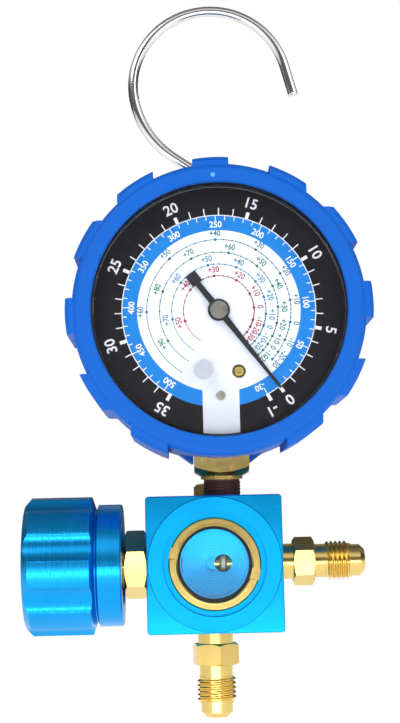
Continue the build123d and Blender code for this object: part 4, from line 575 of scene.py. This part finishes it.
def copy_of(node):
    """A merged copy of a CAD node's mesh."""
    start_clean()
    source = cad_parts[node]
    mesh = source.data.copy()
    mesh.materials.clear()
    piece = bpy.data.objects.new(node + "_copy", mesh)
    bpy.context.scene.collection.objects.link(piece)
    piece.select_set(True)
    bpy.context.view_layer.objects.active = piece
    bpy.ops.object.mode_set(mode="EDIT")
    bpy.ops.mesh.select_all(action="SELECT")
    bpy.ops.mesh.remove_doubles(threshold=0.0005 * MM)
    bpy.ops.object.mode_set(mode="OBJECT")
    bpy.ops.mesh.customdata_custom_splitnormals_clear()
    return piece


def delete_faces(piece, chosen):
    """Delete the faces whose centre passes the test."""
    bpy.ops.object.mode_set(mode="EDIT")
    bpy.ops.mesh.select_all(action="DESELECT")
    bpy.ops.object.mode_set(mode="OBJECT")
    for face in piece.data.polygons:
        face.select = chosen(face.center)
    bpy.ops.object.mode_set(mode="EDIT")
    bpy.ops.mesh.select_mode(type="FACE")
    bpy.ops.mesh.delete(type="FACE")
    bpy.ops.mesh.select_mode(type="VERT")
    bpy.ops.object.mode_set(mode="OBJECT")


def helix(name, along, inner, outer, pitch, steps):
    """A ridge that winds round the X axis from along[0] to along[1]."""
    base = 0.46 * pitch
    crest = 0.06 * pitch
    start = along[0] + base
    turns = (along[1] - along[0] - 2 * base) / pitch
    ridge = trace(name, [(start - base, 0, inner), (start - crest, 0, outer), (start + crest, 0, outer),
                         (start + base, 0, inner)], closed=True)
    bpy.ops.object.mode_set(mode="OBJECT")
    screw = ridge.modifiers.new("wind", "SCREW")
    screw.axis = "X"
    screw.screw_offset = pitch * turns
    screw.angle = 2 * pi * turns
    screw.steps = round(steps * turns)
    screw.render_steps = screw.steps
    bpy.ops.object.modifier_apply(modifier="wind")
    bpy.ops.object.mode_set(mode="EDIT")
    tidy_mesh()
    return ridge


def lathe(name, profile):
    """Turn a profile of (along X, radius) points round the X axis."""
    piece = trace(name, [(along, 0, radius) for along, radius in profile])
    bpy.ops.mesh.spin(steps=LATHE_STEPS, angle=2 * pi, center=(0, 0, 0), axis=(1, 0, 0))
    tidy_mesh()
    return piece


# ---------------------------------------------------------------- pieces


class GAUGE_OT_finishes(bpy.types.Operator):
    """Give every CAD node its finish"""

    bl_idname = "gauge.finishes"
    bl_label = "Finishes"

    def execute(self, context):
        MATERIALS.update(make_materials())
        for node, finish in NODE_FINISH.items():
            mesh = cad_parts[node].data
            mesh.materials.clear()
            mesh.materials.append(MATERIALS[finish])
        return {"FINISHED"}


def threaded_port(node, matrix, finish, threads):
    """A flare port with a cut thread on its plain length. The matrix places the port's own X axis."""
    inverse = matrix.inverted()
    port = copy_of(node)

    def on_thread(centre):
        local = inverse @ centre
        radius = (local.y ** 2 + local.z ** 2) ** 0.5
        return radius > FLARE_CORE and FLARE_START + 0.05 * MM < local.x < FLARE_END - 0.05 * MM

    delete_faces(port, on_thread)
    root = FLARE_CREST - threads.flare_depth
    sleeve = lathe("sleeve", [(FLARE_START, FLARE_NECK), (FLARE_START + 0.1 * MM, root), (FLARE_END, root),
                              (FLARE_END, FLARE_NOSE)])
    ridge = helix("ridge", (FLARE_START + 0.25 * MM, FLARE_END), root - 0.03 * MM, FLARE_CREST,
                  threads.flare_pitch, threads.steps)
    for piece in (sleeve, ridge):
        piece.matrix_world = matrix
        start_clean()
        piece.select_set(True)
        bpy.context.view_layer.objects.active = piece
        bpy.ops.object.transform_apply(location=True, rotation=True, scale=True)
    whole = join([port, sleeve, ridge], node + "_threaded")
    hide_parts(node)
    settle(whole, node + "_threaded", "gauge_body", finish, smooth=30)


class GAUGE_OT_flare_ports(bpy.types.Operator):
    """Side and bottom flare ports with their threads"""

    bl_idname = "gauge.flare_ports"
    bl_label = "Flare ports"

    def execute(self, context):
        threads = context.scene.gauge_threads
        side = Matrix.Translation((BLOCK_RIGHT, 0, VALVE_Z))
        down = Matrix.Translation((0, 0, BLOCK_BOTTOM)) @ Matrix.Rotation(pi / 2, 4, "Y")
        threaded_port("right_port", side, "brass_x", threads)
        threaded_port("bottom_port", down, "brass_z", threads)
        return {"FINISHED"}


class GAUGE_OT_pipe_thread(bpy.types.Operator):
    """Sealed pipe thread between the block and the gauge"""

    bl_idname = "gauge.pipe_thread"
    bl_label = "Pipe thread"

    def execute(self, context):
        threads = context.scene.gauge_threads
        low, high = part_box("thread_seal")
        rise = high[2] - low[2]
        crest = (high[0] - low[0]) / 2
        root = crest - threads.pipe_depth
        sleeve = lathe("sleeve", [(0, crest - 0.05 * MM), (0.35 * MM, root), (rise, root), (rise, PIPE_BORE)])
        ridge = helix("ridge", (0.1 * MM, rise), root - 0.02 * MM, crest, threads.pipe_pitch, threads.steps)
        up = Matrix.Translation((SOCKET_X, SOCKET_Y, low[2])) @ Matrix.Rotation(-pi / 2, 4, "Y")
        for piece in (sleeve, ridge):
            piece.matrix_world = up
        whole = join([sleeve, ridge], "sealed_thread")
        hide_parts("thread_seal")
        settle(whole, "sealed_thread", "gauge_body", "sealant", smooth=30)
        return {"FINISHED"}


# ---------------------------------------------------------------- dial print


def on_dial(radius, direction):
    """Place on the dial's face at a radius and a direction in radians."""
    dial = bpy.context.scene.gauge_dial
    return (GAUGE_X + radius * cos(direction), DIAL_Y - dial.film / 2, GAUGE_Z + radius * sin(direction))


def begin_print(name):
    """An empty mesh in edit mode, for marks of one colour."""
    start_clean()
    bpy.ops.mesh.primitive_plane_add(size=MM, location=(0, 0, 0))
    marks = bpy.context.object
    marks.name = name
    bpy.ops.object.mode_set(mode="EDIT")
    bpy.ops.mesh.delete(type="VERT")
    return marks


def tick(direction, inner, outer, width):
    """A radial mark, added to the mesh in edit mode."""
    film = bpy.context.scene.gauge_dial.film
    turn = Matrix.Rotation(-direction, 3, "Y").to_euler()
    bpy.ops.mesh.primitive_cube_add(size=1, location=on_dial((inner + outer) / 2, direction), rotation=turn,
                                    scale=(outer - inner, film, width))


def dot(direction, radius, size):
    """A round mark, added to the mesh in edit mode."""
    film = bpy.context.scene.gauge_dial.film
    bpy.ops.mesh.primitive_cylinder_add(vertices=12, radius=size, depth=film,
                                        location=on_dial(radius, direction), rotation=(pi / 2, 0, 0))


def arc(name, radius, start, end, width):
    """A thin printed arc as its own object."""
    film = bpy.context.scene.gauge_dial.film
    inner, outer = radius - width / 2, radius + width / 2
    ring = trace(name, [(GAUGE_X + inner, DIAL_Y - film, GAUGE_Z), (GAUGE_X + outer, DIAL_Y - film, GAUGE_Z),
                        (GAUGE_X + outer, DIAL_Y, GAUGE_Z), (GAUGE_X + inner, DIAL_Y, GAUGE_Z)], closed=True)
    turn = Matrix.Translation(CENTRE) @ Matrix.Rotation(-start, 4, "Y") @ Matrix.Translation(-CENTRE)
    bpy.ops.object.mode_set(mode="OBJECT")
    ring.data.transform(turn)
    bpy.ops.object.mode_set(mode="EDIT")
    bpy.ops.mesh.select_all(action="SELECT")
    bpy.ops.mesh.spin(steps=max(8, round((end - start) / radians(3))), angle=end - start,
                      center=(GAUGE_X, DIAL_Y, GAUGE_Z), axis=(0, 1, 0))
    tidy_mesh()
    return ring


def numeral(text, radius, direction, height, squeeze=1.0):
    """A printed number with its top outwards, as a mesh object."""
    film = bpy.context.scene.gauge_dial.film
    start_clean()
    bpy.ops.object.text_add(location=(0, 0, 0))
    label = bpy.context.object
    label.data.body = text
    label.data.align_x = "CENTER"
    label.data.align_y = "CENTER"
    label.data.size = height / CAP_HEIGHT
    label.data.resolution_u = 3
    label.data.extrude = film / 2
    label.data.offset = 0.025 * height
    bpy.ops.object.convert(target="MESH")
    label = bpy.context.object
    spin = Matrix.Rotation(direction - pi / 2, 4, "Z") @ Matrix.Diagonal((squeeze, 1, 1, 1))
    upright = Matrix.Rotation(pi / 2, 4, "X")
    label.matrix_world = Matrix.Translation(on_dial(radius, direction)) @ upright @ spin
    bpy.ops.object.transform_apply(location=True, rotation=True, scale=True)
    return label


# Ink, radius in millimetres, and each number with its direction in degrees
TEMPERATURE_SCALES = [
    ("ink_teal", 20.2, [(-43.9, "-30"), (-36.5, "-20"), (-25.4, "-10"), (-10.7, "0"), (7.3, "+10"),
                        (30.0, "+20"), (57.7, "+30"), (91.5, "+40"), (132.1, "+50"), (180.0, "+60")]),
    ("ink_green", 16.6, [(-50.0, "-20"), (-43.5, "-10"), (-36.0, "0"), (-27.0, "+10"), (-13.6, "+20"),
                         (2.4, "+30"), (23.4, "+40"), (48.3, "+50"), (79.0, "+60"), (116.5, "+70"),
                         (159.8, "+80"), (209.9, "+90")]),
    ("ink_blue", 13.2, [(-50.5, "-30"), (-42.0, "-20"), (-32.3, "-10"), (-19.7, "0"), (-5.4, "+10"),
                        (15.8, "+20"), (37.4, "+30"), (66.8, "+40"), (102.0, "+50"), (142.0, "+60"),
                        (189.5, "+70")]),
    ("ink_red", 9.9, [(-49.5, "-40"), (-39.2, "-30"), (-29.0, "-20"), (-16.5, "-10"), (3.9, "0"),
                      (27.3, "+10"), (58.7, "+20"), (96.0, "+30"), (142.4, "+40"), (196.3, "+50")]),
]


class GAUGE_OT_dial_print(bpy.types.Operator):
    """Scales printed on the dial: marks, dots, circles and plain numbers"""

    bl_idname = "gauge.dial_print"
    bl_label = "Dial print"

    def pressure_marks(self, dial):
        """White marks: bars outwards, pounds inwards."""
        ring = dial.ring_radius
        per_pound = BAR_PER_POUND * dial.per_bar
        marks = begin_print("pressure_marks")
        for bar in range(36):
            direction = dial.zero + bar * dial.per_bar
            if bar % 5 == 0:
                tick(direction, ring - 0.2 * MM, ring + 2.0 * MM, 0.95 * MM)
            else:
                tick(direction, ring, ring + 2.1 * MM, 0.30 * MM)
        tick(dial.vacuum, ring - 0.2 * MM, ring + 2.0 * MM, 0.95 * MM)
        for pound in range(0, 501, 10):
            inner = ring - (2.0 if pound % 50 == 0 else 1.3) * MM
            tick(dial.zero + pound * per_pound, inner, ring, 0.24 * MM)
        tick(dial.vacuum, ring - 2.0 * MM, ring, 0.24 * MM)
        tidy_mesh(0.0001 * MM)
        circle = arc("pressure_line", ring, dial.vacuum, dial.zero + 35 * dial.per_bar, 0.24 * MM)
        numbers = [numeral(str(bar), 31.7 * MM, dial.zero + bar * dial.per_bar, 2.9 * MM)
                   for bar in range(0, 36, 5)]
        numbers.append(numeral("-1", 31.7 * MM, dial.vacuum - radians(2), 2.9 * MM))
        for pound in range(50, 501, 50):
            numbers.append(numeral(str(pound), 24.45 * MM, dial.zero + pound * per_pound, 1.75 * MM, 0.95))
        numbers.append(numeral("-30", 24.3 * MM, dial.vacuum - radians(2), 1.7 * MM, 0.9))
        whole = join([marks, circle] + numbers, "pressure_scales")
        settle(whole, "pressure_scales", "gauge_body", "ink_white")

    def temperature_marks(self, ink, radius, labels):
        """One dotted circle with its numbers."""
        name = ink.replace("ink", "temperature")
        marks = begin_print(name)
        angles = [at for at, _ in labels]
        for at in angles:
            dot(radians(at), radius * MM, 0.42 * MM)
        for here, there in zip(angles, angles[1:]):
            count = 5 if there - here > 12 else 2
            for index in range(1, count):
                dot(radians(here + (there - here) * index / count), radius * MM, 0.24 * MM)
        tidy_mesh(0.0001 * MM)
        circle = arc(name + "_line", radius * MM, radians(angles[0]), TEMPERATURE_END, 0.20 * MM)
        numbers = [numeral(text, (radius + 1.72) * MM, radians(at), 1.65 * MM, 0.85) for at, text in labels]
        whole = join([marks, circle] + numbers, name)
        settle(whole, name, "gauge_body", ink)

    def execute(self, context):
        dial = context.scene.gauge_dial
        self.pressure_marks(dial)
        for ink, radius, labels in TEMPERATURE_SCALES:
            self.temperature_marks(ink, radius, labels)
        edge = arc("dial_edge_line", dial.edge_radius, 0, 2 * pi, 0.12 * MM)
        settle(edge, "dial_edge_line", "gauge_body", "ink_grey")
        return {"FINISHED"}


# ---------------------------------------------------------------- stage


def stage_material():
    """Pale seamless paper."""
    material, nodes, links, shader = new_material("pale_paper")
    cloud = noise(nodes, links, place(nodes, links), 6, 2.0)
    links.new(tint(nodes, links, cloud, (0.93, 0.93, 0.93), 0.99, 1.01), shader.inputs["Base Color"])
    shader.inputs["Roughness"].default_value = 0.9
    shader.inputs["Emission Color"].default_value = (1, 1, 1, 1)
    shader.inputs["Emission Strength"].default_value = 0.66
    return material


def panel_light(name, location, target, width, height, power):
    """A rectangular soft light aimed at a point."""
    start_clean()
    bpy.ops.object.light_add(type="AREA", location=location)
    light = bpy.context.object
    light.name = name
    light.data.shape = "RECTANGLE"
    light.data.size = width
    light.data.size_y = height
    light.data.energy = power
    light.rotation_euler = (Vector(target) - Vector(location)).to_track_quat("-Z", "Y").to_euler()


class GAUGE_OT_camera(bpy.types.Operator):
    """Camera in front of the gauge, a little below its middle"""

    bl_idname = "gauge.camera"
    bl_label = "Camera"

    def execute(self, context):
        start_clean()
        bpy.ops.object.camera_add(location=(-7.82 * MM, -419.7 * MM, 52.4 * MM))
        camera = context.object
        camera.name = "camera"
        camera.data.sensor_fit = "VERTICAL"
        camera.data.sensor_height = SENSOR_HEIGHT
        camera.data.lens = SENSOR_HEIGHT * FOCAL_PIXELS / PICTURE_HEIGHT
        camera.data.shift_x = SHIFT_PIXELS / PICTURE_HEIGHT
        camera.data.clip_start = 0.01
        pitch = radians(90) + 0.11653
        turn = Matrix.Rotation(pitch, 4, "X") @ Matrix.Rotation(-0.02225, 4, "Z")
        camera.rotation_euler = turn.to_euler()
        context.scene.camera = camera
        return {"FINISHED"}


class GAUGE_OT_stage(bpy.types.Operator):
    """Pale floor, soft lights and surroundings"""

    bl_idname = "gauge.stage"
    bl_label = "Stage"

    def surroundings(self, stage):
        """White backdrop, and a studio with a dark wall in front and a bright table for what reflects it."""
        world = bpy.data.worlds.new("surroundings")
        world.use_nodes = True
        nodes, links = world.node_tree.nodes, world.node_tree.links
        where = nodes.new("ShaderNodeTexCoord")
        split = nodes.new("ShaderNodeSeparateXYZ")
        links.new(where.outputs["Generated"], split.inputs[0])
        height = span(nodes, links, split.outputs["Z"], 0, 1)
        height.node.inputs["From Min"].default_value = -1
        ramp = nodes.new("ShaderNodeValToRGB")
        links.new(height, ramp.inputs["Fac"])
        bands = ((0.0, 0.9), (0.48, 0.9), (0.51, 0.09), (0.66, 0.13), (0.74, 0.95), (0.84, 0.95),
                 (0.92, 0.30))
        for at, grey in bands:
            stop = ramp.color_ramp.elements[0] if at == 0.0 else ramp.color_ramp.elements.new(at)
            stop.position = at
            stop.color = (grey, grey, grey, 1)
        ramp.color_ramp.elements[-1].color = (0.2, 0.2, 0.2, 1)
        front = sums(nodes, links, "LESS_THAN", split.outputs["Y"], 0.15)
        dim = span(nodes, links, front, 0.35, 1.0)
        studio = blend_colours(nodes, links, dim, (0.02, 0.02, 0.02), ramp.outputs["Color"])
        path = nodes.new("ShaderNodeLightPath")
        seen = blend_colours(nodes, links, path.outputs["Is Camera Ray"], studio, (1, 1, 1))
        background = nodes["Background"]
        links.new(seen, background.inputs["Color"])
        background.inputs["Strength"].default_value = stage.world
        return world

    def execute(self, context):
        stage = context.scene.gauge_stage
        start_clean()
        bpy.ops.mesh.primitive_plane_add(size=6.0, location=(0, 0, -stage.floor_drop))
        floor = context.object
        floor.name = "floor"
        floor.data.materials.append(stage_material())
        panel_light("key", (-0.55, -0.80, 0.78), (0, 0, 0.10), 0.55, 0.40, stage.key)
        panel_light("fill", (0.70, -0.70, 0.45), (0, 0, 0.10), 0.40, 0.60, stage.fill)
        panel_light("low", (-0.05, -0.62, -0.075), (0, 0, 0.05), 0.70, 0.03, stage.low)
        context.scene.world = self.surroundings(stage)
        context.scene.view_settings.view_transform = "Standard"
        return {"FINISHED"}


class GAUGE_PT_panel(bpy.types.Panel):
    """Sizes, colours and steps of the gauge"""

    bl_idname = "GAUGE_PT_panel"
    bl_label = "Manifold gauge"
    bl_space_type = "VIEW_3D"
    bl_region_type = "UI"
    bl_category = "Manifold gauge"

    def draw(self, context):
        layout = self.layout
        for group in SETTINGS:
            box = layout.box()
            settings = getattr(context.scene, group)
            for name in settings.__annotations__:
                box.prop(settings, name)
        for operator in OPERATORS:
            layout.operator(operator.bl_idname)


SETTINGS = {"gauge_finishes": GaugeFinishes, "gauge_threads": GaugeThreads, "gauge_dial": GaugeDial,
            "gauge_stage": GaugeStage}
OPERATORS = (GAUGE_OT_camera, GAUGE_OT_stage, GAUGE_OT_finishes, GAUGE_OT_flare_ports, GAUGE_OT_pipe_thread,
             GAUGE_OT_dial_print)


def register():
    """Add the settings, operators and panel."""
    for name, group in SETTINGS.items():
        bpy.utils.register_class(group)
        setattr(bpy.types.Scene, name, PointerProperty(type=group))
    for operator in OPERATORS:
        bpy.utils.register_class(operator)
    bpy.utils.register_class(GAUGE_PT_panel)


def unregister():
    """Take them away again."""
    bpy.utils.unregister_class(GAUGE_PT_panel)
    for operator in reversed(OPERATORS):
        bpy.utils.unregister_class(operator)
    for name, group in SETTINGS.items():
        delattr(bpy.types.Scene, name)
        bpy.utils.unregister_class(group)


def main():
    """Run every step."""
    register()
    bpy.ops.gauge.camera()
    bpy.ops.gauge.stage()
    bpy.ops.gauge.finishes()
    bpy.ops.gauge.flare_ports()
    bpy.ops.gauge.pipe_thread()
    bpy.ops.gauge.dial_print()
    start_clean()


if __name__ == "__main__":
    main()
